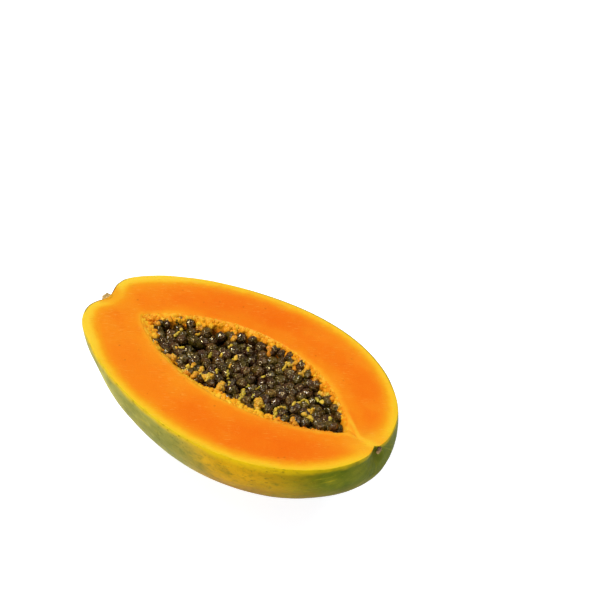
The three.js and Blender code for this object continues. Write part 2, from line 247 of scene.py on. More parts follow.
def skin_point(azimuth, rise):
    """A point on the skin, in the direction given by an azimuth and a rise from the fruit's middle."""
    level = math.cos(rise)
    dx, dy, dz = math.cos(azimuth) * level, math.sin(azimuth) * level, math.sin(rise)
    lobe = LOBE_HEIGHT * math.cos(LOBES * math.atan2(dz, dy) + LOBE_TURN) * (1 - dx * dx)
    r = outline_radius(math.acos(clamp(dx, -1, 1))) + lobe
    x = MIDDLE[0] + r * dx
    y = MIDDLE[1] + r * dy - BOW * (x / HALF_LENGTH) ** 2
    z = FACE_Z - WIDEST_BELOW_FACE + DEPTH_RATIO * r * dz
    return Vector((x + dimple_at(STEM_DIMPLE, x, y, z) + dimple_at(BLOSSOM_DIMPLE, x, y, z), y, z))


def rise_to(azimuth, z):
    """The rise at which the skin reaches a height."""
    return last_where(0, math.pi / 3, lambda rise: skin_point(azimuth, rise).z < z)


def cavity_line(x):
    """The line along X that the cavity is even about."""
    return CAVITY.y - CAVITY.end_bend * ((x - CAVITY.x) / CAVITY.half_length) ** 2


def cavity_half_width(x):
    u = (x - CAVITY.x) / CAVITY.half_length
    return CAVITY.half_width * max(0, 1 - u * u) ** CAVITY.fullness


def cavity_reach(azimuth):
    """How far the cavity's outline is from its middle in plan."""
    c, s = math.cos(azimuth), abs(math.sin(azimuth))

    def inside(reach):
        return reach * s < cavity_half_width(CAVITY.x + reach * c)

    return last_where(0, CAVITY.half_length, inside)


def ledge_width(x):
    stemward = (CAVITY.x - x) / CAVITY.half_length
    return LEDGE.width + LEDGE.stem_extra * smoothstep(stemward, LEDGE.stem_from, 1)


def cavity_drop(x, inward):
    """How far the cavity's wall is below the cut face, at a distance in from its outline."""
    wall_from = LEDGE.wall_from * ledge_width(x)
    u = (x - CAVITY.x) / CAVITY.half_length
    share = clamp((inward - wall_from) / max(cavity_half_width(x) - wall_from, 1e-6), 0, 1)
    floor = (CAVITY_DEPTH - LEDGE.drop) * max(0, 1 - u * u) ** FLOOR_FULLNESS
    return LEDGE.drop * min(1, inward / ledge_width(x)) + floor * (1 - (1 - share) ** WALL_STEEPNESS)


def cavity_spot(x, side, inward):
    """The point of the cavity's wall at x, a distance in from its outline on one side."""
    y = side * (cavity_half_width(x) - inward) + cavity_line(x)
    return Vector((x, y, FACE_Z - cavity_drop(x, inward)))


# ---- Repeatable draws, the same as the part's ----


def part_draws(seed):
    """The part's own random numbers, so that each seed lies where its solid does."""
    word = 0xFFFFFFFF
    state = seed
    while True:
        state = (state + 0x6D2B79F5) & word
        t = state
        t = ((t ^ (t >> 15)) * (t | 1)) & word
        t ^= (t + (((t ^ (t >> 7)) * (t | 61)) & word)) & word
        yield (t ^ (t >> 14)) / 4294967296


def settle(seeds, room, first, last, steps):
    """Pushes overlapping seeds apart in plan until they lie side by side. Each is [x, y, radius, ...]."""
    for _ in range(steps):
        for i in range(1, len(seeds)):
            b = seeds[i]
            for a in seeds[:i]:
                reach = a[2] + b[2]
                if abs(b[0] - a[0]) >= reach or abs(b[1] - a[1]) >= reach:
                    continue
                apart = math.hypot(b[0] - a[0], b[1] - a[1]) or 1e-6
                push = (reach - apart) / 2
                if push <= 0:
                    continue
                ux, uy = (b[0] - a[0]) / apart * push, (b[1] - a[1]) / apart * push
                a[0] -= ux
                a[1] -= uy
                b[0] += ux
                b[1] += uy
        for seed in seeds:
            seed[0] = clamp(seed[0], first, last)
            limit = max(0, room(seed[0], seed[2]))
            seed[1] = clamp(seed[1], -limit, limit)
    return seeds


def seed_room(x, radius):
    return cavity_half_width(x) - ledge_width(x) - radius - PILE.wall_gap


def drop_seeds(draw, sizes):
    """Seeds dropped in the cavity and settled, as [x, y, radius, lift, turn], y from the cavity's line."""
    first, last = CAVITY.x - PILE.stemward, CAVITY.x + PILE.blossomward
    seeds = []
    while len(seeds) < sizes.count:
        x = first + (last - first) * next(draw)
        y = (2 * next(draw) - 1) * CAVITY.half_width
        radius = sizes.least + (sizes.most - sizes.least) * next(draw)
        if abs(y) < seed_room(x, radius):
            seeds.append([x, y, radius, next(draw), next(draw)])
    return settle(seeds, seed_room, first, last, sizes.steps)


# ---- Shader nodes ----


def paint(code):
    """A linear colour from a web colour such as 0xFF8800."""
    channels = [(code >> shift & 255) / 255 for shift in (16, 8, 0)]
    return tuple(c / 12.92 if c < 0.04045 else ((c + 0.055) / 1.055) ** 2.4 for c in channels)


def maths(operation, turned=False):
    """An operator of Wire that adds a Math node. Turned, the wire comes last."""

    def work_out(wire, *others):
        values = (*others, wire) if turned else (wire, *others)
        return wire.finish.node("ShaderNodeMath", {"operation": operation}, dict(enumerate(values)))

    return work_out


class Wire:
    """A node's output socket. Arithmetic on it adds the Math node that works it out."""

    __add__ = __radd__ = maths("ADD")
    __sub__, __rsub__ = maths("SUBTRACT"), maths("SUBTRACT", turned=True)
    __mul__ = __rmul__ = maths("MULTIPLY")
    __truediv__ = maths("DIVIDE")
    absolute, at_least, at_most = maths("ABSOLUTE"), maths("MAXIMUM"), maths("MINIMUM")

    def __init__(self, finish, socket):
        self.finish, self.socket = finish, socket

    def fade(self, low, high):
        """A smooth step from 0 at low to 1 at high, which may also be the lower of the two."""
        inputs = {"Value": self, 1: low, 2: high, 3: 0, 4: 1}
        return self.finish.node("ShaderNodeMapRange", {"interpolation_type": "SMOOTHSTEP"}, inputs)


class Finish:
    """A new material, and the one method that adds any node to it. Colours are web colours, and the
    place on the piece is in millimetres."""

    def __init__(self, name):
        self.material = bpy.data.materials.new(name)
        self.material.use_nodes = True
        self.tree = self.material.node_tree
        self.tree.nodes.clear()
        coordinates = self.node("ShaderNodeTexCoord", output="Object")
        self.place = self.scaled((1 / MM,) * 3, coordinates)

    def node(self, kind, settings=None, inputs=None, output=0):
        made = self.tree.nodes.new(kind)
        for name, value in (settings or {}).items():
            if name == "stops":
                elements = made.color_ramp.elements
                while len(elements) < len(value):
                    elements.new(0.5)
                for element, (position, code) in zip(elements, value):
                    element.position = position
                    element.color = (*paint(code), 1)
            else:
                setattr(made, name, value)
        for name, value in (inputs or {}).items():
            socket = made.inputs[name]
            if isinstance(value, Wire):
                self.tree.links.new(value.socket, socket)
            elif socket.type == "RGBA":
                socket.default_value = (*(paint(value) if isinstance(value, int) else value), 1)
            else:
                socket.default_value = value
        return Wire(self, made.outputs[output])

    def scaled(self, scale, vector=None):
        inputs = {0: vector or self.place, 1: scale}
        return self.node("ShaderNodeVectorMath", {"operation": "MULTIPLY"}, inputs)

    def axes(self):
        split = self.node("ShaderNodeSeparateXYZ", inputs={0: self.place}).socket.node
        return [Wire(self, output) for output in split.outputs]

    def together(self, x, y, z):
        return self.node("ShaderNodeCombineXYZ", inputs={0: x, 1: y, 2: z})

    def attribute(self, name):
        return self.node("ShaderNodeAttribute", {"attribute_name": name}, output="Fac")

    def mix(self, a, b, factor, blend="MIX"):
        settings = {"data_type": "RGBA", "blend_type": blend, "clamp_factor": True}
        return self.node("ShaderNodeMix", settings, {0: factor, 6: a, 7: b}, output=2)

    def coats(self, color, *coats):
        """Lays thin coats over a colour in turn. Each is its own colour and how much of it shows."""
        for code, share in coats:
            color = self.mix(color, code, share)
        return color

    def ramp(self, factor, *stops):
        return self.node("ShaderNodeValToRGB", {"stops": stops}, {0: factor})

    def cloud(self, scale, detail=2, roughness=0.5, at=None):
        inputs = {"Vector": at or self.place, "Scale": scale, "Detail": detail, "Roughness": roughness}
        return self.node("ShaderNodeTexNoise", inputs=inputs)

    def cells(self, scale, feature="F1", at=None):
        inputs = {"Vector": at or self.place, "Scale": scale}
        return self.node("ShaderNodeTexVoronoi", {"feature": feature}, inputs, output="Distance")

    def bump(self, height, distance):
        inputs = {"Height": height, "Distance": distance * MM, "Strength": 1}
        return self.node("ShaderNodeBump", inputs=inputs)

    def tinted(self, color, tint):
        return self.mix(color, tint, 1, "MULTIPLY")

    def surface(self, **inputs):
        """Puts the shader and the output at the end, and gives back the material."""
        inputs = {name.replace("_", " "): value for name, value in inputs.items()}
        shader = self.node("ShaderNodeBsdfPrincipled", inputs=inputs)
        output = self.tree.nodes.new("ShaderNodeOutputMaterial")
        self.tree.links.new(shader.socket, output.inputs["Surface"])
        return self.material


# ---- Finishes ----


def flesh_finish(tint):
    """The cut face: yellow at the rim, deep orange inside, lighter round the cavity, moist."""
    f = Finish("papaya_flesh")
    x, y, _ = f.axes()
    from_rim, from_cavity = f.attribute("from_rim"), f.attribute("from_cavity")
    wander, soft = f.cloud(0.09, 3) - 0.5, f.cloud(0.28, 3) - 0.5
    stemward = x.fade(-52, -92)
    narrowing = x.fade(-48, -38) * x.fade(-12, -22) * y.fade(0, -10)
    widening = 1 + stemward * 0.75 + x.fade(70, 94) * 0.35
    inward = (from_rim + wander * 2.6 + soft * 1.6 + narrowing) / widening
    band = f.ramp(
        inward / 16,
        (0, 0xE4BA2C), (0.035, 0xF6C732), (0.13, 0xFDC036), (0.21, 0xFCB127),
        (0.3, 0xF99B1D), (0.43, 0xFA8819), (0.6, 0xFA7C14), (0.95, 0xFA7811),
    )
    # the pale lip round the cavity, bare along part of the far side, and a brown edge on the near side
    lip = (from_cavity + soft * 2.4).fade(3.4, 0.4)
    bare = y.fade(8, 11) * (x + wander * 12).fade(24, 12) * x.fade(-58, -46)
    edge = (from_cavity + soft * 0.8).fade(1.1, 0.2) * y.fade(2, -4) * x.fade(12, -4)
    # the seam, forked from the cavity's two corners to the rim's notch
    end_x, end_y = SEAM.end
    far_off = (y - end_y - (SEAM.fork - x).at_least(0) * SEAM.far_slope).absolute()
    near_off = (y - end_y + (end_x - x).at_least(0) * SEAM.near_slope).absolute()
    # at the stem's notch the flesh is orange right out to the skin
    notch = ((y + 2) * (y + 2) + (x + 95) * (x + 95)).fade(110, 15)
    # blotches, redder parts, knife flecks and specks
    blotch = f.cloud(0.055, 2, at=f.scaled((1, 1.4, 1)))
    deep = inward.fade(5, 9)
    near_side = (y + wander * 8).fade(-12, -22)
    redder = y.fade(16, 28) * x.fade(25, -5) * x.fade(-60, -35) + near_side * x.fade(10, 45)
    turned = {"Vector": f.place, "Angle": -0.62}
    strokes = f.node("ShaderNodeVectorRotate", {"rotation_type": "Z_AXIS"}, turned)
    fleck = f.cloud(1, 3, 0.6, f.scaled((0.22, 1.5, 1), strokes))
    flecked = f.cloud(0.07, 1).fade(0.4, 0.56)
    specks = f.cells(0.16).fade(0.13, 0.05) * f.cloud(0.21, 1).fade(0.5, 0.56)
    grain = f.cloud(1.6, 3, 0.65)
    # the skin seen edge on, as a thin dark line round the stem end and along the far side
    line = (from_rim + (grain - 0.5) * 0.6).fade(1, 0.45)
    far_line = y.fade(5, 25) * x.fade(-45, -25) * x.fade(84, 70)
    around_stub = (y + 3.4) * (y + 3.4) + (x + 94) * (x + 94)
    ring = around_stub.fade(2, 5) * around_stub.fade(12, 7) * grain.fade(0.42, 0.56)
    color = f.coats(
        band,
        (0xFFD350, x.fade(-50, -78) * inward.fade(4.6, 0.4) * 0.85),
        (0xFB8C19, (from_cavity + wander * 4).fade(13, 2) * 0.9),
        (0xFC9422, stemward * 0.55 * from_rim.fade(4, 12)),
        # the pale lip is partly the flesh's own lighter colour and partly a painted highlight where the cut
        # edge catches the light
        (0xFDA92E, lip * (1 - bare * 0.85) * 0.85),
        (0xCC860E, edge * 0.4),
        (0xFDAC30, (near_off + wander * 5).fade(15, 3) * x.fade(74, 91) * 0.85),
        (0xFEBC3E, (far_off + soft * 0.8).fade(1.8, 0.3) * x.fade(66, 71) * 0.8),
        (0xFEB436, (near_off + soft * 0.8).fade(1.5, 0.2) * x.fade(74, 79) * 0.7),
        (0xFFC540, near_off.fade(3.5, 0.5) * x.fade(87, 92) * 0.8),
        (0xF99A1E, notch * 0.8),
        (0xF66A0C, blotch.fade(0.48, 0.68) * 0.3 * deep),
        (0xFC9A2A, blotch.fade(0.5, 0.3) * 0.28 * deep),
        (0xF5640A, redder * deep * 0.35),
        (0xFD9626, near_side * x.fade(8, -20) * deep * 0.3),
        # knife marks: the pale streaks are painted highlight and the dark ones painted shadow of the marks
        # that the bump also raises
        (0xFFC27A, fleck.fade(0.57, 0.7) * flecked * 0.36),
        (0xD85A08, fleck.fade(0.42, 0.3) * flecked * 0.25),
        (0xB85408, specks * from_rim.fade(5, 9) * 0.45),
        (0xFFB452, grain.fade(0.53, 0.74) * 0.2),
        (0xE8640A, grain.fade(0.45, 0.26) * 0.14),
        (0x4E3608, line * x.fade(-92.5, -94.5) * y.fade(16, 13) * 0.85),
        (0x5A560C, line * far_line * 0.55),
        (0xB07818, ring * 0.55),
    )
    height = f.cloud(0.9, 4, 0.6) * 0.5 + fleck * 0.35 + f.cells(1.15) * 0.18
    return f.surface(
        Base_Color=f.tinted(color, tint), Roughness=0.36 + f.cloud(0.6, 3) * 0.22,
        Normal=f.bump(height, 0.16), IOR=1.34, Specular_IOR_Level=0.3, Specular_Tint=(1, 0.75, 0.25),
        Subsurface_Weight=0.12, Subsurface_Radius=(1, 0.38, 0.1), Subsurface_Scale=0.003,
    )


def lining_finish(tint):
    """The cavity's own wall: moist orange grains, palest at the stem end, with brown pits there."""
    f = Finish("papaya_cavity_wall")
    x, y, z = f.axes()
    grain, tone = f.attribute("grain"), f.cloud(0.6, 3, 0.6)
    # painted shade: the ramp is darker between the grains and paler on their tops, mixed with tone that
    # differs at random
    shade = grain * 0.55 + tone * 0.6
    wall, stem, near = (
        f.ramp(shade, (0.2, low), (0.5, middle), (0.85, high))
        for low, middle, high in (
            (0xF48412, 0xFC9A1C, 0xFFB236), (0xF58A10, 0xFBA020, 0xFFBE3E), (0xE48A10, 0xF2A01E, 0xFCBE3A),
        )
    )
    color = f.mix(f.mix(wall, stem, x.fade(-34, -54)), near, y.fade(2, -4) * 0.8)
    # painted highlights: pale specks on the grains near the top of the wall
    crumbs = f.cells(0.75).fade(0.42, 0.2) * tone.fade(0.42, 0.56)
    gaps = f.cells(0.6).fade(0.3, 0.12) * tone.fade(0.5, 0.4)
    pits = f.cells(0.5).fade(0.24, 0.1) * grain.fade(0.7, 0.3)
    color = f.coats(
        color,
        # painted shade: the wall turns darker orange further down into the cavity
        (0xE8801A, z.fade(FACE_Z - 2.6, FACE_Z - 6)),
        (0xFFD070, crumbs * z.fade(FACE_Z - 2.8, FACE_Z - 1.2) * 0.5),
        (0xD8741A, gaps * 0.25),
        (0xB0681A, pits * x.fade(-36, -52) * 0.5),
    )
    return f.surface(
        Base_Color=f.tinted(color, tint), Roughness=0.34 + tone * 0.2,
        Normal=f.bump(f.cloud(1.3, 3, 0.6), 0.12),
        IOR=1.4, Specular_IOR_Level=0.4, Specular_Tint=(1, 0.75, 0.25),
        Subsurface_Weight=0.25, Subsurface_Radius=(1, 0.45, 0.12), Subsurface_Scale=0.002,
    )


def grain_finish(tint):
    """Grains, cushions and fibres of placenta. Each has its own lot; the near side's are the palest."""
    f = Finish("papaya_placenta")
    x, y, _ = f.axes()
    lot, tone = f.attribute("lot"), f.cloud(0.7, 3)
    far = f.ramp(lot, (0, 0xF69414), (0.6, 0xFCA41E), (1, 0xFFBE3A))
    near = f.ramp(lot, (0, 0xF89E18), (0.5, 0xFCB22C), (1, 0xFFCA4A))
    stem = f.ramp(lot, (0, 0xF68A12), (0.5, 0xFB9E20), (1, 0xFFBC40))
    near = f.mix(near, 0xF28A1A, x.fade(36, 44) * 0.8)
    color = f.mix(f.mix(far, near, y.fade(1, -3)), stem, x.fade(-38, -54))
    color = f.mix(color, 0xE08420, tone.fade(0.44, 0.22) * 0.4)
    return f.surface(
        Base_Color=f.tinted(color, tint), Roughness=0.3 + tone * 0.2,
        Normal=f.bump(f.cloud(0.8, 2), 0.12),
        IOR=1.4, Specular_IOR_Level=0.5, Specular_Tint=(1, 0.8, 0.3),
        Subsurface_Weight=0.15, Subsurface_Radius=(1, 0.5, 0.15), Subsurface_Scale=0.001,
    )


def aril_finish(tint):
    """Yellow and lime strands over the seeds. The higher the lot, the limier the strand."""
    f = Finish("papaya_aril")
    tone = f.cloud(0.8, 3)
    color = f.ramp(
        f.attribute("lot"),
        (0, 0xEC8E1C), (0.3, 0xF2A62A), (0.6, 0xF0C24E), (0.8, 0xDAB648), (1, 0xBCA644),
    )
    # painted highlight and shade: pale patches stand in for highlights and brown ones for shade, scattered
    # by noise
    color = f.coats(
        color, (0xFADCA4, tone.fade(0.52, 0.72) * 0.5), (0x9A6418, tone.fade(0.47, 0.28) * 0.7)
    )
    return f.surface(
        Base_Color=f.tinted(color, tint), Roughness=0.3 + tone * 0.2,
        Normal=f.bump(f.cloud(1.1, 3), 0.4),
        IOR=1.4, Specular_IOR_Level=0.5, Specular_Tint=(1, 0.92, 0.7),
        Subsurface_Weight=0.3, Subsurface_Radius=(1, 0.6, 0.2), Subsurface_Scale=0.0015,
    )


def seed_finish(tint):
    """Wet seed coats: dark creases, olive-brown ridges, and a crinkled film that glitters."""
    f = Finish("papaya_seed_coat")
    z = f.axes()[2]
    tone, hue = f.cloud(0.5, 3, 0.6), f.cloud(0.17, 1)
    own = f.ramp(
        f.attribute("lot"),
        (0, 0x241404), (0.35, 0x3A2407), (0.7, 0x4A310C), (0.88, 0x563E13), (1, 0x6A511D),
    )
    # painted glints: pale specks that stand in for the sparkle of the wet coats, laid only on the upper
    # seeds
    specks = f.cells(0.55).fade(0.32, 0.14) * f.cloud(0.9, 2).fade(0.46, 0.56)
    color = f.coats(
        # near-black in the creases, partly the coat's own dark colour and partly painted shade; the ridge
        # value also holds the painted shade of each seed's underside
        f.mix(0x140B04, own, f.attribute("ridge").fade(0, 0.7)),
        (0x4A2C22, hue.fade(0.52, 0.62) * 0.4),
        (0x46420E, hue.fade(0.48, 0.38) * 0.45),
        (0x7D6C2E, tone.fade(0.52, 0.78) * 0.5),
        # painted shade: seeds lower down in the cavity are darkened towards near-black
        (0x0C0602, z.fade(FACE_Z - 4, FACE_Z - 8.5) * 0.8),
        (0xC0A070, specks * z.fade(FACE_Z - 6, FACE_Z - 2.5) * 0.4),
    )
    crinkle = f.cloud(0.7, 1) * 0.8 - f.cells(0.5, "SMOOTH_F1")
    return f.surface(
        Base_Color=f.tinted(color, tint), Roughness=0.06 + tone * 0.06,
        Normal=f.bump(crinkle, 0.55), IOR=1.42, Specular_IOR_Level=0.75, Specular_Tint=(1, 0.78, 0.36),
        Coat_Weight=0.3, Coat_Roughness=0.03,
    )


def peel_finish(tint):
    """Waxy peel: green with golden streaks along the fruit, speckled, darker at the blossom end."""
    f = Finish("papaya_peel")
    x, y, z = f.axes()
    from_rim, around = f.attribute("from_rim"), f.attribute("around")
    streak = f.cloud(1, 3, 0.55, f.together(x / 62, around * 2.1, 3))
    grain = f.cloud(1, 3, 0.6, f.together(x / 9, around * 22, 8))
    fine = f.cloud(1, 3, 0.65, f.together(x / 2.8, around * 17, 5))
    mottle, cloudy = f.cloud(0.075, 4, 0.6), f.cloud(0.03, 3, 0.55)
    uneven, rough = mottle - 0.5, grain - 0.5
    along = x + uneven * 22 + rough * 14
    # gold on the near flank, and in broad streaks underneath
    near_gold = along.fade(2, 44) * along.fade(92, 52) * around.fade(1.2, 0.6)
    belly_gold = (streak + uneven * 0.35).fade(0.5, 0.66) * around.fade(0.55, 1.1)
    gold = (near_gold + belly_gold).at_most(1) * x.fade(92, 80)
    # the stem half's greyer green is partly its own colour and partly painted sheen
    stem_green = f.ramp(mottle, (0.3, 0x7A7C44), (0.5, 0x948F56), (0.7, 0xAAA060))
    tip_green = f.ramp(mottle, (0.3, 0x3F500A), (0.5, 0x596414), (0.7, 0x74741C))
    green = f.mix(stem_green, tip_green, (x + (uneven * 22 + rough * 14) * 0.6).fade(13, 72))
    golden = f.ramp(mottle, (0.28, 0xA47E08), (0.5, 0xC08F0C), (0.72, 0xD09C12))
    golden = f.mix(golden, 0xB0661A, from_rim.fade(17, 27) * cloudy.fade(0.42, 0.6) * 0.5)
    # a darker band along the flank, below the rim
    shoulder = (from_rim + uneven * 8).fade(2, 6) * from_rim.fade(20, 11)
    # the yellow just under the rim, where the green is thinnest
    reach = 4.4 + x.fade(30, 45) * x.fade(84, 74) * 1.2 - x.fade(76, 88) * 1.4
    thin = ((from_rim + uneven * 5 + rough * 3) / reach).fade(1, 0.15)
    lime = f.mix(0xD2AC12, 0xBCA20E, x.fade(62, 88))
    # painted sheen: pale grey-green towards the bottom of the stem half stands in for the reflection of the
    # pale surroundings
    pale = (from_rim + uneven * 6).fade(3, 13) * along.fade(-30, -56)
    lip = (from_rim + rough).fade(1, 0.1) * grain.fade(0.35, 0.55)
    # brown cork where the skin meets the stub
    stub_off = (y + 3) * (y + 3) + (z - (FACE_Z - 2)) * (z - (FACE_Z - 2))
    # dark specks in clusters, blots and soft bruises
    specks = f.cells(1, at=f.together(x / 3.4, around * 34, 1)).fade(0.42, 0.16)
    specks = specks * f.cloud(0.055, 2).fade(0.5, 0.62) * f.cloud(0.9, 2).fade(0.4, 0.56)
    blot = f.cloud(0.22, 3, 0.65, f.scaled((0.7, 1, 1)))
    bruise = f.cloud(0.1, 3, 0.6, f.scaled((0.6, 1, 1.2))).fade(0.54, 0.72)
    color = f.coats(
        f.mix(green, golden, gold),
        (0x6A6A2E, shoulder * along.fade(38, 10) * x.fade(-46, -16) * 0.42),
        (0x6E5C10, from_rim.fade(12, 28) * x.fade(10, 60) * 0.68),
        (0xC9B02C, grain.fade(0.55, 0.75) * 0.34),
        (0x4C5212, grain.fade(0.45, 0.25) * 0.4),
        (0x4E5C14, fine.fade(0.48, 0.3) * along.fade(-5, 35) * 0.42),
        (0xC2B23C, fine.fade(0.55, 0.72) * along.fade(-5, 35) * 0.1),
        (lime, thin * 0.9),
        (0xC8C084, pale * 0.7),
        (0xA9B40E, lip * x.fade(40, -10) * 0.5),
        (0xE6BE38, x.fade(-78, -95) * 0.6),
        (0x5A3A1A, stub_off.fade(70, 20) * x.fade(-80, -90) * 0.8),
        (0xC4BC50, f.cells(0.55).fade(0.2, 0.06) * 0.16),
        (0x4A4A12, specks * 0.55),
        (0xC8C07A, blot.fade(0.54, 0.72) * 0.2 * along.fade(20, -10)),
        (0x5E6418, blot.fade(0.46, 0.28) * 0.34),
        (0x5A5C1C, bruise * 0.4),
        # painted sheen: grey-green over the blossom tip
        (0x84845C, x.fade(90, 97) * 0.14),
    )
    height = f.cells(0.55, "SMOOTH_F1") * 0.5 + grain * 0.6 + f.cloud(1.2, 4) * 0.4
    return f.surface(
        Base_Color=f.tinted(color, tint), Roughness=0.44 + f.cloud(0.3, 3) * 0.2,
        Normal=f.bump(height, 0.14), IOR=1.42, Specular_IOR_Level=0.04, Specular_Tint=(1, 0.9, 0.3),
    )


def cork_finish(name, dark, light):
    """Dry, cracked cork of the stem stub and of the flower's scar, lighter where lot is higher."""
    f = Finish(name)
    tone = f.cloud(0.7, 5, 0.7)
    cracks = f.cells(0.8, "DISTANCE_TO_EDGE").fade(0.12, 0.02)
    color = f.ramp(tone * 0.7 + f.attribute("lot") * 0.6, (0.3, dark), (0.8, light))
    return f.surface(
        Base_Color=f.mix(color, 0x3A2A16, cracks * 0.5), Roughness=0.75 + tone * 0.2,
        Normal=f.bump(tone - cracks * 0.5, 0.3),
    )


# ---- Making pieces ----


def make_piece(bm, name, finishes, replaced=()):
    """Turns a bmesh into a finished piece that rides on the fruit. Its place is in its mesh."""
    piece = placed_object(name, mesh_from(bm, name, finishes))
    piece.data.shade_smooth()
    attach(piece, BODY)
    if replaced:
        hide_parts(*replaced)


def mesh_from(bm, name, finishes=()):
    """Turns a bmesh into a mesh and frees it."""
    mesh = bpy.data.meshes.new(name)
    bm.to_mesh(mesh)
    bm.free()
    for finish in finishes:
        mesh.materials.append(finish)
    return mesh


def placed_object(name, data):
    """A new object at the origin, in the scene."""
    made = bpy.data.objects.new(name, data)
    bpy.context.scene.collection.objects.link(made)
    return made


def blob(bm, subdivisions, shape, place=Vector(), names=("lot",)):
    """Adds an icosphere whose unit vertices shape() moves, in millimetres, about a place. shape() also
    gives the values of the vertex attributes that names lists. The highest point is kept below the face."""
    one = bmesh.new()
    layers = [one.verts.layers.float.new(name) for name in names]
    bmesh.ops.create_icosphere(one, subdivisions=subdivisions, radius=1)
    for v in one.verts:
        offset, values = shape(v.co)
        v.co = (place + offset) * MM
        for layer, value in zip(layers, values):
            v[layer] = value
    over = max(v.co.z for v in one.verts) - (FACE_Z - CLEAR_OF_FACE) * MM
    if over > 0:
        bmesh.ops.translate(one, vec=(0, 0, -over), verts=one.verts[:])
    scratch = mesh_from(one, "scratch")
    bm.from_mesh(scratch)
    bpy.data.meshes.remove(scratch)


def noise_start(rand, axes=2):
    """A random start in the noise, so that no two shapes are alike."""
    return Vector([rand.uniform(-50, 50) for _ in range(axes)] + [0] * (3 - axes))


# ---- The fruit ----


def seam_lines(x):
    """Where the two pale lines of the seam lie at x: from the cavity's corners to the rim's notch."""
    to_end, to_fork = max(0, SEAM.end[0] - x), max(0, SEAM.fork - x)
    return SEAM.end[1] + SEAM.far_slope * to_fork, SEAM.end[1] - SEAM.near_slope * to_end


def cleft_depth(point):
    """How deep the fold is that runs from the rim down through the flower's scar."""
    below = FACE_Z - point.z
    off = point.y - CLEFT.y - CLEFT.lean * min(below, 6)
    width = CLEFT.steep + 0.1 * below if off > 0 else CLEFT.gentle + 0.1 * below
    fading = 1 - smoothstep(below, *CLEFT.fades)
    return CLEFT.depth * fading * math.exp(-abs(off / width) ** 1.5)


def dressed_skin_point(azimuth, rise):
    """A point on the skin with what only the looks have: fuller shoulders, soft swells, the fold."""
    point = skin_point(azimuth, rise)
    below = FACE_Z - point.z
    outward = sum(
        amount * math.exp(-((point - Vector((x, y, z))).length / spread) ** 2)
        for x, y, z, amount, spread in SWELLS
    )
    outward *= smoothstep(below, 2, 12)
    if point.x < SHOULDERS.before:
        near = SHOULDERS.near * smoothstep(-point.y, 3, 10) * smoothstep(-point.y, 38, 26)
        far = SHOULDERS.far * smoothstep(point.y, 2, 14) * smoothstep(point.y, 28, 15)
        outward += (near + far) * (1 - smoothstep(below, 1.5, 9))
    outwards = Vector((math.cos(azimuth), math.sin(azimuth), 0)) * math.cos(rise)
    outwards.z = math.sin(rise)
    point += outwards * outward
    if point.x > CLEFT.begins:
        point.x -= cleft_depth(point)
    point.x = clamp(point.x, *SKIN_ENDS)
    return point


def fruit_columns():
    """For each column of the mesh: its azimuth, the rises of the skin's top, the rim and the cavity."""
    columns = []
    for i in range(AROUND):
        even = 2 * math.pi * i / AROUND
        azimuth = even - END_CROWDING * math.sin(2 * even)
        rim = dressed_skin_point(azimuth, rise_to(azimuth, FACE_Z))
        rim.z = FACE_Z
        reach = cavity_reach(azimuth)
        edge = cavity_plan(azimuth, reach)
        reach += EDGE_WANDER.broad * noise.noise(edge / 4.5) + EDGE_WANDER.small * noise.noise(edge / 1.9)
        skin_top = rise_to(azimuth, FACE_Z - KNIFE_EDGE)
        cavity = cavity_plan(azimuth, reach)
        columns.append(Sizes(azimuth=azimuth, skin_top=skin_top, rim=rim, reach=reach, cavity=cavity))
    return columns


def cavity_plan(azimuth, reach):
    """The point of the face in a direction from the cavity's middle, so far from it."""
    x = CAVITY.x + reach * math.cos(azimuth)
    return Vector((x, reach * math.sin(azimuth) + cavity_line(x), FACE_Z))


def wall_point(column, share):
    """A point of the cavity's wall, from its outline (share 0) in to its middle (share 1)."""
    reach = column.reach * (1 - share)
    point = cavity_plan(column.azimuth, reach)
    off = abs(point.y - cavity_line(point.x))
    inward = max(0, cavity_half_width(point.x) - off)
    point.z = FACE_Z - cavity_drop(point.x, inward)
    return point


def fruit_point(column, ring):
    """Where the mesh's vertex goes: up the skin, round the knife's edge, over the face, into the cavity."""
    if ring <= SKIN_RINGS:
        share = ring / SKIN_RINGS
        rise = share * (column.skin_top + math.pi / 2) - math.pi / 2
        return dressed_skin_point(column.azimuth, rise)
    ring -= SKIN_RINGS
    to_cavity = column.cavity - column.rim
    width = to_cavity.length
    if ring == 1:
        skin = dressed_skin_point(column.azimuth, column.skin_top)
        corner = column.rim.lerp(column.cavity, KNIFE_EDGE * CORNER.cut / width)
        corner.z = FACE_Z - KNIFE_EDGE * CORNER.cut
        return corner.lerp(skin, CORNER.towards_skin)
    if ring <= FACE_RINGS + 1:
        even = (ring - 2) / (FACE_RINGS - 1)
        crowded = even - FACE_CROWDING * math.sin(2 * math.pi * even)
        start = KNIFE_EDGE / width
        return column.rim.lerp(column.cavity, start + (1 - start) * crowded)
    ring -= FACE_RINGS + 1
    even = ring / WALL_RINGS
    return wall_point(column, even**WALL_CROWDING)


def waves(point):
    """Noise from 0 to 1."""
    return 0.5 + 0.5 * noise.noise(point)


def skin_relief(point, around):
    """How far the skin is drawn in: soft hollows, faint ribs, and folds round the two dimples."""
    depth = SKIN_RELIEF.broad * waves(point / 17)
    depth += SKIN_RELIEF.ribs * waves(Vector((point.x / 55, around * 5.5, 7)))
    depth += SKIN_RELIEF.small * waves(point / 5.5)
    for dimple, folds, strength in DIMPLE_FOLDS:
        if point.x * dimple.side < 60:
            continue
        off = Vector((point.y - dimple.y, point.z - FACE_Z + dimple.below_face))
        turn = math.atan2(off.y, off.x) + 0.35 * noise.noise(point / 7)
        reach = math.exp(-((off.length / (1.5 * dimple.radius)) ** 2)) * smoothstep(off.length, 1, 4)
        depth += strength * reach * (0.5 + 0.5 * math.cos(folds * turn))
    return depth


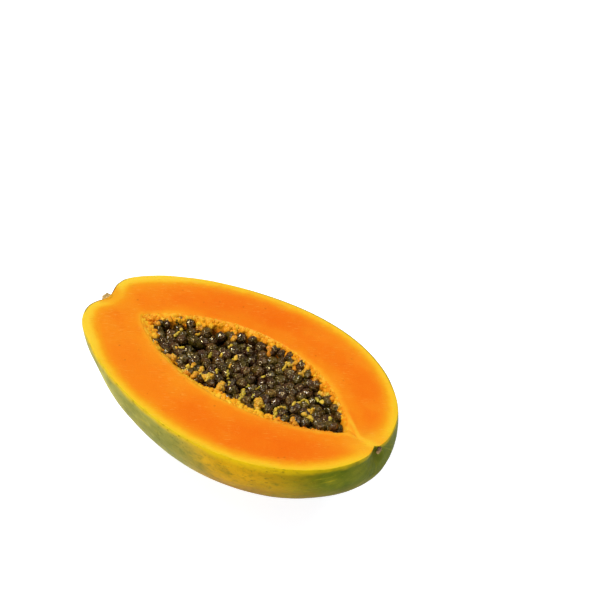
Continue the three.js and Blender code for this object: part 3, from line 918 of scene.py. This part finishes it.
def face_relief(point, from_rim, from_cavity):
    """How far the face lies below its plane: the knife's waves, the cavity's soft lip, the seam."""
    along = point.x * 0.77 + point.y * 0.64
    knife = waves(Vector((along / 26, (point.y - point.x * 0.8) / 6, 2)))
    depth = FACE_RELIEF.waves * knife * smoothstep(from_rim, 0.3, 3)
    depth += FACE_RELIEF.lip * math.exp(-max(0, from_cavity) / 0.8)
    if point.x > SEAM.begins:
        far, near = seam_lines(point.x)
        run = smoothstep(point.x, SEAM.begins, SEAM.begins + 6)
        middle = (far + near) / 2 if point.x < SEAM.fork else near
        groove = math.exp(-(((point.y - middle) / 0.5) ** 2)) * (1 - smoothstep(point.x, 84, 92))
        ridge = math.exp(-(((point.y - far) / 0.9) ** 2))
        depth = max(0, depth + run * (FACE_RELIEF.groove * groove - FACE_RELIEF.ridge * ridge))
    return depth


def wall_grain(point):
    """How far up a grain of the cavity's wall a point is, from 0 between the grains to 1 on one."""
    bent = point + 0.8 * noise.noise_vector(point / 3.1)
    near = noise.voronoi(Vector((bent.x / 2.9, bent.y / 2.4, 3.1)))[0][0]
    return clamp(1 - (near / 0.8) ** 2, 0, 1)


def pocket_floor(point, wall_z, from_edge, seeds, tree):
    """The height of the wall at a point, where it gives way to the nearest loose seed. A lip stays."""
    _, index, off = tree.find(Vector((point.x, point.y, 0)))
    place, radius, _ = seeds[index]
    yielding = (1 - smoothstep(off, 0.85 * radius, 1.2 * radius)) * smoothstep(from_edge, 0.7, 2.4)
    return wall_z + (min(wall_z, place.z - 0.2 * radius) - wall_z) * yielding


def fruit_mesh():
    """One closed mesh of peel, cut face and cavity, from a sphere whose rings run from the belly's
    lowest point up the skin, over the rim and the face, and down into the cavity."""
    rings = LAST_FACE_RING + WALL_RINGS
    bm = bmesh.new()
    bmesh.ops.create_uvsphere(bm, u_segments=AROUND, v_segments=rings, radius=1)
    from_rim, from_cavity, around, grain = (
        bm.verts.layers.float.new(name) for name in ("from_rim", "from_cavity", "around", "grain")
    )
    columns = fruit_columns()
    rim_tree = edge_tree([column.rim for column in columns])
    cavity_tree = edge_tree([column.cavity for column in columns])
    leaning = loose_seeds()
    seed_tree = plan_tree(leaning)
    noise.seed_set(DRAWS.wall)  # otherwise noise_vector starts from the clock
    ring_of = {}
    for v in bm.verts:
        ring_of[v] = round(math.acos(clamp(-v.co.z, -1, 1)) / math.pi * rings)
        turn = math.atan2(v.co.y, v.co.x) / (2 * math.pi)
        v.co = fruit_point(columns[round(turn * AROUND) % AROUND], ring_of[v])
        v[from_rim] = rim_tree.find(v.co)[2]
        v[from_cavity] = cavity_tree.find(Vector((v.co.x, v.co.y, FACE_Z)))[2]
        v[around] = math.atan2(FACE_Z - v.co.z, MIDDLE[1] - v.co.y)
    bm.normal_update()
    for v in bm.verts:
        point, ring = v.co.copy(), ring_of[v]
        if ring <= SKIN_RINGS:
            depth = skin_relief(point, v[around]) * smoothstep(v[from_rim], 0, 4)
            v.co -= v.normal * depth
            v.co.z = max(0, v.co.z)
        elif RIM_RING < ring <= LAST_FACE_RING:
            v.co.z -= face_relief(point, v[from_rim], v[from_cavity])
        elif ring > LAST_FACE_RING:
            v[from_cavity] = -v[from_cavity]
            v[grain] = wall_grain(point)
            raised = WALL_RELIEF.grains * v[grain] - WALL_RELIEF.down
            raised += WALL_RELIEF.broad * noise.noise(point / 4.2)
            raised += WALL_RELIEF.small * noise.noise(point / 1.3)
            wall_z = min(FACE_Z - 0.08, v.co.z + raised)
            v.co.z = pocket_floor(point, wall_z, -v[from_cavity], leaning, seed_tree)
        v.co *= MM
    for face in bm.faces:
        lowest = min(ring_of[v] for v in face.verts)
        face.material_index = (lowest >= RIM_RING) + (lowest >= LAST_FACE_RING)
    return bm


def search_tree(points):
    """Finds the nearest of some points, by their order."""
    tree = kdtree.KDTree(len(points))
    for i, point in enumerate(points):
        tree.insert(point, i)
    tree.balance()
    return tree


def plan_tree(placed):
    """A search tree of where things lie in plan."""
    return search_tree([Vector((place.x, place.y, 0)) for place, *_ in placed])


def edge_tree(ends):
    """A search tree of points close together along a closed edge with these ends."""
    following = ends[1:] + ends[:1]
    shares = [k / EDGE_STEPS for k in range(EDGE_STEPS)]
    return search_tree([a.lerp(b, share) for a, b in zip(ends, following) for share in shares])


# ---- The seeds ----

SEED_ATTRIBUTES = ("lot", "ridge")


def seed_shape(radius, turn, lump, rand):
    """A wrinkled, slightly egg-shaped seed. Gives a function for blob()."""
    tilt = Euler((rand.uniform(-0.5, 0.5), rand.uniform(-0.5, 0.5), 2 * math.pi * turn)).to_matrix()
    start = noise_start(rand, axes=3)
    lot = rand.random() ** 1.3
    stretch = [s * rand.uniform(0.9, 1.07) for s in SEED_STRETCH]
    point = rand.uniform(0.02, 0.14)

    def shape(n):
        near = noise.voronoi(n * radius / lump + start)[0]
        ridge = clamp((near[1] - near[0]) * 1.9, 0, 1)
        ridge = ridge * (2 - ridge)
        dent = noise.noise(n * 1.6 + start)
        wrinkle = noise.noise(n * radius / 0.8 - start)
        size = radius * (1 + point * n.x - 0.05 - 0.1 * (1 - ridge) + 0.13 * dent + 0.05 * wrinkle)
        offset = tilt @ (Vector((n.x * stretch[0], n.y * stretch[1], n.z * stretch[2])) * size)
        # painted shade: each seed's underside is made darker through its ridge value, as if shaded from the
        # light above
        painted_light_from_above = 0.25 + 0.75 * smoothstep(offset.z / radius, -0.35, 0.55)
        return offset, (lot, ridge * painted_light_from_above)

    return shape


def sunk(x, y):
    """How far the pile of seeds is sunk at a place: a few deep gaps, and dips all over."""
    deep = max(math.exp(-((x - a) ** 2 + (y - b) ** 2) / r**2) for a, b, r in HOLLOWS)
    dips = smoothstep(noise.noise(Vector((x / 12, y / 8, 4.3))), 0.1, 0.5)
    return SUNK.gaps * deep + SUNK.dips * dips


def loose_seeds():
    """The seeds that lean on the ledges, as (place, radius, turn)."""
    placed = []
    rand = random.Random(DRAWS.loose_seeds)
    for x, y, radius in LOOSE_SEEDS:
        crown = FACE_Z - rand.uniform(0.1, 0.7)
        placed.append((Vector((x, y, crown - radius)), radius, rand.random()))
    return placed


def top_seeds(leaning):
    """The upper layer of seeds, each where its solid lies, lower in the gaps and under loose seeds."""
    placed = []
    tree = plan_tree(leaning)
    for x, y, radius, lift, turn in drop_seeds(part_draws(SEEDS.draw), SEEDS):
        y += cavity_line(x)
        _, index, off = tree.find(Vector((x, y, 0)))
        under = 1 - smoothstep(off, 0.35, 0.8 * (radius + leaning[index][1]))
        inward = cavity_half_width(x) - abs(y - cavity_line(x))
        bare = 1.6 * smoothstep(x, -52, -44) * smoothstep(x, -16, -24) if y > cavity_line(x) else 0
        under = max(under, (0.7 + 0.3 * bare) * smoothstep(inward - ledge_width(x) - bare, 2.0, 0.4))
        depth = SEED_TOPS.below_face + SEED_TOPS.spread * lift + sunk(x, y) + SUNK.under_loose_seeds * under
        placed.append((Vector((x, y, FACE_Z - depth - radius)), radius, turn))
    return placed


def seed_mesh(placed, least, most):
    """Seeds whose radii are from least to most times those they were placed with."""
    bm = bmesh.new()
    rand = random.Random(DRAWS.seeds)
    for place, radius, turn in placed:
        grown = radius * rand.uniform(least, most)
        middle = place - Vector((0, 0, grown - radius))
        blob(bm, SEED_DETAIL, seed_shape(grown, turn, UPPER_WRINKLE, rand), middle, SEED_ATTRIBUTES)
    return bm


def deep_seed_mesh():
    """The seeds under the upper layer, which only show in its gaps."""
    bm = bmesh.new()
    rand = random.Random(DRAWS.deep_seeds)
    for draw, crown in DEEP_SEEDS.layers:
        for x, y, radius, lift, turn in drop_seeds(part_draws(draw), DEEP_SEEDS):
            y = 0.96 * y + cavity_line(x)
            top = FACE_Z - crown - 1.2 * lift - 0.6 * sunk(x, y)
            shape = seed_shape(radius, turn, DEEP_WRINKLE, rand)
            blob(bm, GRAIN_DETAIL, shape, Vector((x, y, top - radius)), SEED_ATTRIBUTES)
    return bm


# ---- The placenta ----


def grain_mesh():
    """Soft grains half sunk in the wide ledge at the stem end, and finer ones along the far ledge."""
    bm = bmesh.new()
    rand = random.Random(DRAWS.grains)
    for _ in range(GRAINS.stem_count):
        x = rand.uniform(*GRAINS.stem_reach)
        side = rand.choice(MOSTLY_FAR)
        inward = rand.uniform(0.4, 1.1) * min(ledge_width(x), cavity_half_width(x) * 0.9)
        radius = rand.uniform(0.5, 1.0)
        spot = cavity_spot(x, side, inward)
        spot.z -= rand.uniform(0.3, 0.6) * radius
        blob(bm, GRAIN_DETAIL, lump_shape(radius, rand, 1.4), spot)
    for _ in range(GRAINS.far_count):
        radius, inward = rand.uniform(0.3, 1.0), rand.uniform(0, 2.8)
        spot = cavity_spot(rand.uniform(*GRAINS.far_reach), FAR_SIDE, inward)
        spot.z = min(spot.z, FACE_Z - 0.1 - 0.4 * smoothstep(inward, 0, 0.8))
        spot.z -= rand.uniform(0.5, 0.95) * radius
        blob(bm, GRAIN_DETAIL, lump_shape(radius, rand, 1.4), spot)
    return bm


def band_width(x):
    """How wide the band of placenta is that lies on the near ledge."""
    return 0.9 + 3.1 * smoothstep(x, -10, 4) * (1 - 0.8 * smoothstep(x, 38, 52))


def cushion_mesh():
    """Soft lumps of placenta: a band of them fills the near ledge almost up to the face, and others
    stand on the far ledge between the seeds, round the stem corner and in the far ledge's wide part."""
    bm = bmesh.new()
    rand = random.Random(DRAWS.cushions)
    x, last = CUSHIONS.near_reach
    while x < last:
        band = band_width(x)
        radius = max(0.7, 0.48 * band * rand.uniform(0.85, 1.3))
        for row in range(2 if band > 1.5 else 1):
            inward = band * (0.3 + 0.5 * row) + rand.uniform(-0.3, 0.3)
            along = x + row * radius * 0.8 + rand.uniform(-0.5, 0.5)
            spot = cavity_spot(along, NEAR_SIDE, inward)
            spot.z = FACE_Z - rand.uniform(0.1, 0.5) - 0.3 * row - radius
            blob(bm, LUMP_DETAIL, lump_shape(radius, rand, 1.35, 0.45), spot)
        x += 1.45 * radius * rand.uniform(0.8, 1.2)
    x, last = CUSHIONS.far_reach
    while x < last:
        radius = rand.uniform(1.2, 1.9)
        spot = cavity_spot(x, FAR_SIDE, rand.uniform(1.4, 3.0))
        spot.z = min(spot.z, FACE_Z - rand.uniform(0.9, 1.8)) - 0.6 * radius
        blob(bm, LUMP_DETAIL, lump_shape(radius, rand, 1.5, 0.3), spot)
        x += rand.uniform(3.0, 7.0)
    for _ in range(CUSHIONS.stem_count):
        x, radius = rand.uniform(*CUSHIONS.stem_reach), rand.uniform(1.1, 2.0)
        inward = rand.uniform(0.5, 1) * min(ledge_width(x), cavity_half_width(x))
        spot = cavity_spot(x, rand.choice(MOSTLY_FAR), inward)
        spot.z -= rand.uniform(0.1, 0.5) * radius
        blob(bm, LUMP_DETAIL, lump_shape(radius, rand, 1.4, 0.4), spot)
    for _ in range(CUSHIONS.wide_count):
        radius, x = rand.uniform(1.0, 1.7), rand.uniform(*CUSHIONS.wide_reach)
        spot = cavity_spot(x, FAR_SIDE, rand.uniform(3.0, 5.0))
        spot.z = FACE_Z - rand.uniform(1.5, 2.3) - 0.6 * radius
        blob(bm, LUMP_DETAIL, lump_shape(radius, rand, 1.5, 0.35), spot)
    return bm


def lump_shape(radius, rand, length, uneven=0.25, lot=None):
    """A soft uneven lump, longer one way, turned at random. Gives a function for blob()."""
    turn = Euler((rand.uniform(0, 6), rand.uniform(0, 6), rand.uniform(0, 6))).to_matrix()
    start = noise_start(rand)
    lot = rand.random() if lot is None else lot

    def shape(n):
        size = radius * (1 + uneven * noise.noise(n * 1.7 + start))
        return turn @ (Vector((n.x * length, n.y, n.z)) * size), (lot,)

    return shape


def shred_shape(radius, length, heading, rand, lot):
    """A lumpy strand that is thicker at one end, lying along a heading."""
    basis = heading.to_track_quat("X", "Z").to_matrix()
    start = noise_start(rand)
    bend = rand.uniform(-0.35, 0.35) * length

    def shape(n):
        rough = 0.45 * noise.noise(n * 1.5 + start) + 0.22 * noise.noise(n * 3.4 - start)
        thick = radius * (0.78 + 0.3 * n.x + rough)
        local = Vector((n.x * length, n.y * thick + bend * (n.x * n.x - 0.3), n.z * thick * 0.8))
        return basis @ local, (lot,)

    return shape


def fibre_mesh():
    """Short fibres that hang from the near edge of the cavity down to the seeds."""
    bm = bmesh.new()
    rand = random.Random(DRAWS.fibres)
    for first, last, step in FIBRE_RUNS:
        x = first
        while x < last:
            along = x + rand.uniform(-0.6, 0.6)
            inward = rand.uniform(2.0, 3.8)
            spot = cavity_spot(along, NEAR_SIDE, inward)
            ahead = cavity_spot(along + rand.uniform(-0.8, 0.8), NEAR_SIDE, inward + 1.6)
            heading = (ahead - spot).normalized()
            radius = rand.uniform(0.8, 1.5)
            spot.z = FACE_Z - rand.uniform(0.5, 1.8) - radius
            length, lot = rand.uniform(1.3, 2.6), rand.uniform(0, 0.9)
            blob(bm, LUMP_DETAIL, shred_shape(radius, length, heading, rand, lot), spot)
            x += step * rand.uniform(0.7, 1.3)
    return bm


def pile_top(x, y, placed, tree):
    """How high the pile of seeds is at a place."""
    tops = [FACE_Z - PILE_FLOOR]
    for _, index, off in tree.find_n(Vector((x, y, 0)), 4):
        place, radius, _ = placed[index]
        if off < radius:
            tops.append(place.z + math.sqrt(radius**2 - off**2))
    return max(tops)


def strand_shape(path, half_width, lot, rand, height_at):
    """A lumpy strand that runs through three points and lies over what is under it."""
    first, middle, last = path
    bend = 2 * middle - (first + last) / 2
    start = noise_start(rand)
    reach = half_width / max(1.0, (last - first).length)

    def shape(n):
        t = 0.5 + (0.5 + reach * 0.6) * n.x
        along = (1 - t) * (1 - t) * first + 2 * t * (1 - t) * bend + t * t * last
        heading = (1 - t) * (bend - first) + t * (last - bend)
        across = Vector((-heading.y, heading.x)).normalized()
        rough = 0.7 * noise.noise(n * 1.7 + start) + 0.45 * noise.noise(n * 3.8 - start)
        thick = half_width * (0.95 + rough)
        spot = along + across * (n.y * thick)
        z = height_at(spot) * 0.5 + height_at(along) * 0.5
        hue = lot + 0.3 * noise.noise(n * 1.2 + start * 2)
        return Vector((spot.x, spot.y, z + 0.6 * thick * n.z - 0.2)), (hue,)

    return shape


def strand_mesh(placed):
    """Yellow and lime strands that lie over the seeds, and small shreds in the gaps between them."""
    bm = bmesh.new()
    rand = random.Random(DRAWS.strands)
    tree = plan_tree(placed)

    def height_at(spot):
        return pile_top(spot.x, spot.y, placed, tree)

    for *plan, half_width, lot in STRANDS:
        first, middle, last = path = [Vector(plan[i : i + 2]) for i in (0, 2, 4)]
        blob(bm, LUMP_DETAIL, strand_shape(path, 0.65 * half_width, lot, rand, height_at))
        crumbs = round(1.5 * (last - first).length / half_width) + 3
        for k in range(crumbs):
            t = 2 * (k + rand.uniform(0.2, 0.8)) / crumbs
            spot = first.lerp(middle, t) if t < 1 else middle.lerp(last, t - 1)
            spot += Vector((rand.uniform(-1, 1), rand.uniform(-1, 1))) * 0.5 * half_width
            radius = half_width * rand.uniform(0.45, 0.85)
            spot = Vector((spot.x, spot.y, height_at(spot) + rand.uniform(-0.4, 0.3) * radius))
            crumb = lump_shape(radius, rand, 1.4, 0.4, clamp(lot + rand.uniform(-0.2, 0.15), 0, 1))
            blob(bm, LUMP_DETAIL if radius > 1 else GRAIN_DETAIL, crumb, spot)
    shreds = 0
    while shreds < SHREDS.count:
        x = rand.uniform(*SHREDS.reach)
        y = rand.uniform(-0.95, 0.8) * (cavity_half_width(x) - ledge_width(x)) + cavity_line(x)
        _, index, off = tree.find(Vector((x, y, 0)))
        if off < 0.8 * placed[index][1]:
            continue
        turn = rand.uniform(0, math.pi)
        step = Vector((math.cos(turn), math.sin(turn))) * rand.uniform(0.5, 1.4)
        spot = Vector((x, y))
        path = (spot - step, spot + Vector((step.y, -step.x)) * 0.3, spot + step)
        half_width, lot = rand.uniform(0.7, 1.2), rand.uniform(0.3, 1.0)
        blob(bm, GRAIN_DETAIL, strand_shape(path, half_width, lot, rand, height_at))
        shreds += 1
    return bm


# ---- The stub and the scar ----


def stub_mesh():
    """The stalk's stump: a short fluted peg, cut through level with the face."""
    bm = bmesh.new()
    length = STUB.stands_out + STUB.sunk
    radii = {"radius1": STUB.radius, "radius2": STUB.tip_radius}
    bmesh.ops.create_cone(bm, cap_ends=True, segments=STUMP.columns, depth=length, **radii)
    caps = [face for face in bm.faces if len(face.verts) > 4]
    for kept in (0.72, 0.62, 0.3):
        bmesh.ops.inset_region(bm, faces=caps, thickness=STUB.tip_radius * (1 - kept) * 0.33)
    sides = [e for e in bm.edges if abs(e.verts[0].co.z - e.verts[1].co.z) > length * 0.5]
    bmesh.ops.subdivide_edges(bm, edges=sides, cuts=STUMP.rings, use_grid_fill=False)
    turn = Matrix.Rotation(-math.pi / 2, 3, "Y")
    socket_floor = MIDDLE[0] - HALF_LENGTH + STEM_DIMPLE.depth
    along = socket_floor + (STUB.sunk - STUB.stands_out) / 2
    middle = Vector((along, STEM_DIMPLE.y, FACE_Z - STUB.below_face))
    for v in bm.verts:
        out = math.hypot(v.co.x, v.co.y)
        turned = STUMP.flutes * math.atan2(v.co.y, v.co.x)
        flute = 1 + 0.03 * math.cos(turned) + 0.05 * noise.noise(v.co / 1.6)
        v.co.x *= flute
        v.co.y *= flute
        if v.co.z > length / 2 - 0.01:
            rough = 0.35 * noise.noise(v.co / 1.1) * smoothstep(out, 0, 3)
            v.co.z -= rough + 0.25 * (1 - smoothstep(out, 0.2, 1.6))
        v.co = turn @ v.co
        v.co.y = v.co.y * STUMP.flatness + STUMP.aside
        v.co.x -= STUMP.drawn_out * smoothstep(-v.co.x, 0, 2)
        v.co += middle
    everything = bm.verts[:] + bm.edges[:] + bm.faces[:]
    cut = {"plane_co": (0, 0, FACE_Z - STUMP.cut_below_face), "plane_no": (0, 0, 1)}
    bmesh.ops.bisect_plane(bm, geom=everything, clear_outer=True, **cut)
    bmesh.ops.holes_fill(bm, edges=[e for e in bm.edges if e.is_boundary], sides=0)
    bmesh.ops.recalc_face_normals(bm, faces=bm.faces[:])
    bmesh.ops.scale(bm, vec=(MM, MM, MM), verts=bm.verts[:])
    return bm


def skin_at(y, z):
    """The point of the skin near the blossom end at y and z."""
    azimuth, rise = 0.0, 0.0
    for _ in range(20):
        point = dressed_skin_point(azimuth, rise)
        azimuth += (y - point.y) / 95
        rise += (z - point.z) / 85
    return point


def knot_shape(radius, turn, lot):
    """A ragged, hollow-ended knot. Gives a function for blob()."""

    def shape(n):
        ragged = 0.14 * math.cos(5 * math.atan2(n.z, n.y) + turn) * (1 - n.x * n.x)
        ragged += 0.35 * noise.noise(n * 2.3 + Vector((turn, 0, 0)))
        hollow = 0.3 * math.exp(-((math.hypot(n.y, n.z) / 0.4) ** 2)) if n.x > 0 else 0
        size = radius * (0.95 + ragged - hollow)
        return Vector((n.x * 0.8, n.y, n.z * 1.15)) * size, (lot,)

    return shape


def scar_mesh():
    """The dried remains of the flower: ragged knots in the fold, dark above and tan below."""
    bm = bmesh.new()
    rand = random.Random(DRAWS.scar)
    for y, below, radius, lot in SCAR_KNOTS:
        blob(bm, SEED_DETAIL, knot_shape(radius, rand.uniform(0, 6), lot), skin_at(y, FACE_Z - below))
    return bm


# ---- Settings, operators and panel ----


def color_setting(name, description, default):
    """A colour in the sidebar."""
    return FloatVectorProperty(
        name=name, description=description, subtype="COLOR", default=default, min=0, max=1
    )


def amount_setting(name, description, default):
    """An amount in the sidebar, 0 or more."""
    return FloatProperty(name=name, description=description, default=default, min=0)


class PapayaColors(bpy.types.PropertyGroup):
    flesh_tint: color_setting("Flesh tint", "Multiplies the colours of the cut face", (0.71, 0.735, 0.38))
    peel_tint: color_setting("Peel tint", "Multiplies the colours of the peel", (0.87, 0.87, 0.5))
    seed_tint: color_setting("Seed tint", "Multiplies the colours of the seed coats", (1.0, 0.88, 0.7))


class PapayaStage(bpy.types.PropertyGroup):
    wash: amount_setting("Wash light", "Strength of the wide soft light from above", 0.2)
    fill: amount_setting("Fill light", "Strength of the light from the front", 1.05)
    back: amount_setting("Back light", "Strength of the light from behind", 0.9)
    glint: amount_setting("Glint light", "Strength of the small sun, the main light, from above", 2.65)
    floor_glow: amount_setting("Floor glow", "How brightly the lit table shines by itself", 0.8175)
    sky: amount_setting("Surroundings", "Brightness of the pale surroundings", 0.26)
    lens: FloatProperty(
        name="Lens", description="Focal length in millimetres, on a 36 mm sensor", default=96.3, min=10
    )


class PAPAYA_OT_fruit(bpy.types.Operator):
    """Model the peel, the cut face and the cavity as one closed mesh"""

    bl_idname = "papaya.fruit"
    bl_label = "Add Fruit Half"

    def execute(self, context):
        tints = context.scene.papaya_colors
        peel, flesh = tints.peel_tint, tints.flesh_tint
        finishes = [peel_finish(peel), flesh_finish(flesh), lining_finish(flesh)]
        make_piece(fruit_mesh(), "papaya_half", finishes, ["fruit_half"])
        return {"FINISHED"}


class PAPAYA_OT_seeds(bpy.types.Operator):
    """Model the seeds in their wet coats: the upper ones, those on the ledges and the deep ones"""

    bl_idname = "papaya.seeds"
    bl_label = "Add Seeds"

    def execute(self, context):
        coat = seed_finish(context.scene.papaya_colors.seed_tint)
        leaning = loose_seeds()
        for mesh, name in (
            (seed_mesh(top_seeds(leaning), *UPPER_GROWTH), "seeds_upper"),
            (seed_mesh(leaning, *EDGE_GROWTH), "seeds_edge"),
            (deep_seed_mesh(), "seeds_lower"),
        ):
            make_piece(mesh, name, [coat], ["seed_mass"])
        return {"FINISHED"}


class PAPAYA_OT_placenta(bpy.types.Operator):
    """Model the placenta's grains, cushions and fibres, and the strands over the seeds"""

    bl_idname = "papaya.placenta"
    bl_label = "Add Placenta"

    def execute(self, context):
        tint = context.scene.papaya_colors.flesh_tint
        soft = grain_finish(tint)
        leaning = loose_seeds()
        for mesh, name, finish in (
            (grain_mesh(), "placenta_grains", soft),
            (cushion_mesh(), "placenta_cushions", soft),
            (fibre_mesh(), "placenta_fibres", soft),
            (strand_mesh(top_seeds(leaning) + leaning), "placenta_strands", aril_finish(tint)),
        ):
            make_piece(mesh, name, [finish])
        return {"FINISHED"}


class PAPAYA_OT_stub(bpy.types.Operator):
    """Model the corky stem stub and the flower's scar"""

    bl_idname = "papaya.stub"
    bl_label = "Add Stub and Scar"

    def execute(self, context):
        cork = cork_finish("papaya_cork", 0xC09A52, 0xFADA96)
        make_piece(stub_mesh(), "stem_stump", [cork], ["stem_stub"])
        scar = cork_finish("papaya_scar", 0x46301A, 0xBE9866)
        make_piece(scar_mesh(), "flower_scar", [scar])
        return {"FINISHED"}


class PAPAYA_OT_stage(bpy.types.Operator):
    """Add the pale floor, the soft lights and the camera"""

    bl_idname = "papaya.stage"
    bl_label = "Add Stage"

    def execute(self, context):
        settings = context.scene.papaya_stage
        add_floor(settings.floor_glow)
        for name, towards, across, color in LIGHTS:
            add_sun(f"{name}_light", towards, getattr(settings, name), across, color)
        world = bpy.data.worlds.new("studio")
        world.use_nodes = True
        background = world.node_tree.nodes["Background"]
        background.inputs["Color"].default_value = (1, 1, 1, 1)
        background.inputs["Strength"].default_value = settings.sky
        context.scene.world = world
        context.scene.view_settings.view_transform = "Standard"
        add_camera(settings.lens)
        return {"FINISHED"}


def add_floor(glow):
    """A pale table lit from below, so that shadows on it stay faint."""
    bm = bmesh.new()
    bmesh.ops.create_grid(bm, x_segments=1, y_segments=1, size=FLOOR.half_width * MM)
    bmesh.ops.translate(bm, vec=(0, 0, -FLOOR.under_part * MM), verts=bm.verts[:])
    f = Finish("floor_paper")
    tone = f.cloud(0.004, 2)
    paper = f.surface(
        Base_Color=f.mix(*FLOOR.tones, tone), Roughness=0.9, Specular_IOR_Level=0.1,
        Emission_Color=FLOOR.glow, Emission_Strength=glow,
    )
    placed_object("floor", mesh_from(bm, "floor", [paper]))


def add_sun(name, towards, strength, across, color):
    """A soft distant light in the direction towards, which is so many degrees across."""
    light = bpy.data.lights.new(name, "SUN")
    light.energy = strength
    light.angle = math.radians(across)
    light.color = color
    placed_object(name, light).rotation_euler = Vector(towards).to_track_quat("Z", "Y").to_euler()


def add_camera(lens):
    """The camera, from the directions of its right side and its top."""
    right = Vector(CAMERA.right).normalized()
    back = right.cross(Vector(CAMERA.up)).normalized()
    data = bpy.data.cameras.new("camera")
    data.lens = lens
    data.sensor_width = 36
    data.clip_start, data.clip_end = 0.01, 50
    camera = placed_object("camera", data)
    turn = Matrix((right, back.cross(right), back)).transposed().to_4x4()
    camera.matrix_world = Matrix.Translation(Vector(CAMERA.place) * MM) @ turn
    bpy.context.scene.camera = camera


class PAPAYA_PT_sidebar(bpy.types.Panel):
    """The papaya's settings and steps"""

    bl_label = "Halved Papaya"
    bl_idname = "PAPAYA_PT_sidebar"
    bl_space_type = "VIEW_3D"
    bl_region_type = "UI"
    bl_category = "Papaya"

    def draw(self, context):
        layout = self.layout
        for group in (context.scene.papaya_colors, context.scene.papaya_stage):
            for name in group.bl_rna.properties.keys():
                if name not in ("rna_type", "name"):
                    layout.prop(group, name)
        for operator in OPERATORS:
            layout.operator(operator.bl_idname)


OPERATORS = (PAPAYA_OT_fruit, PAPAYA_OT_seeds, PAPAYA_OT_placenta, PAPAYA_OT_stub, PAPAYA_OT_stage)
CLASSES = (PapayaColors, PapayaStage, *OPERATORS, PAPAYA_PT_sidebar)


def register():
    for cls in CLASSES:
        bpy.utils.register_class(cls)
    bpy.types.Scene.papaya_colors = PointerProperty(type=PapayaColors)
    bpy.types.Scene.papaya_stage = PointerProperty(type=PapayaStage)


def unregister():
    del bpy.types.Scene.papaya_colors
    del bpy.types.Scene.papaya_stage
    for cls in reversed(CLASSES):
        bpy.utils.unregister_class(cls)


def main():
    register()
    bpy.ops.papaya.fruit()
    bpy.ops.papaya.seeds()
    bpy.ops.papaya.placenta()
    bpy.ops.papaya.stub()
    bpy.ops.papaya.stage()


if __name__ == "__main__":
    main()
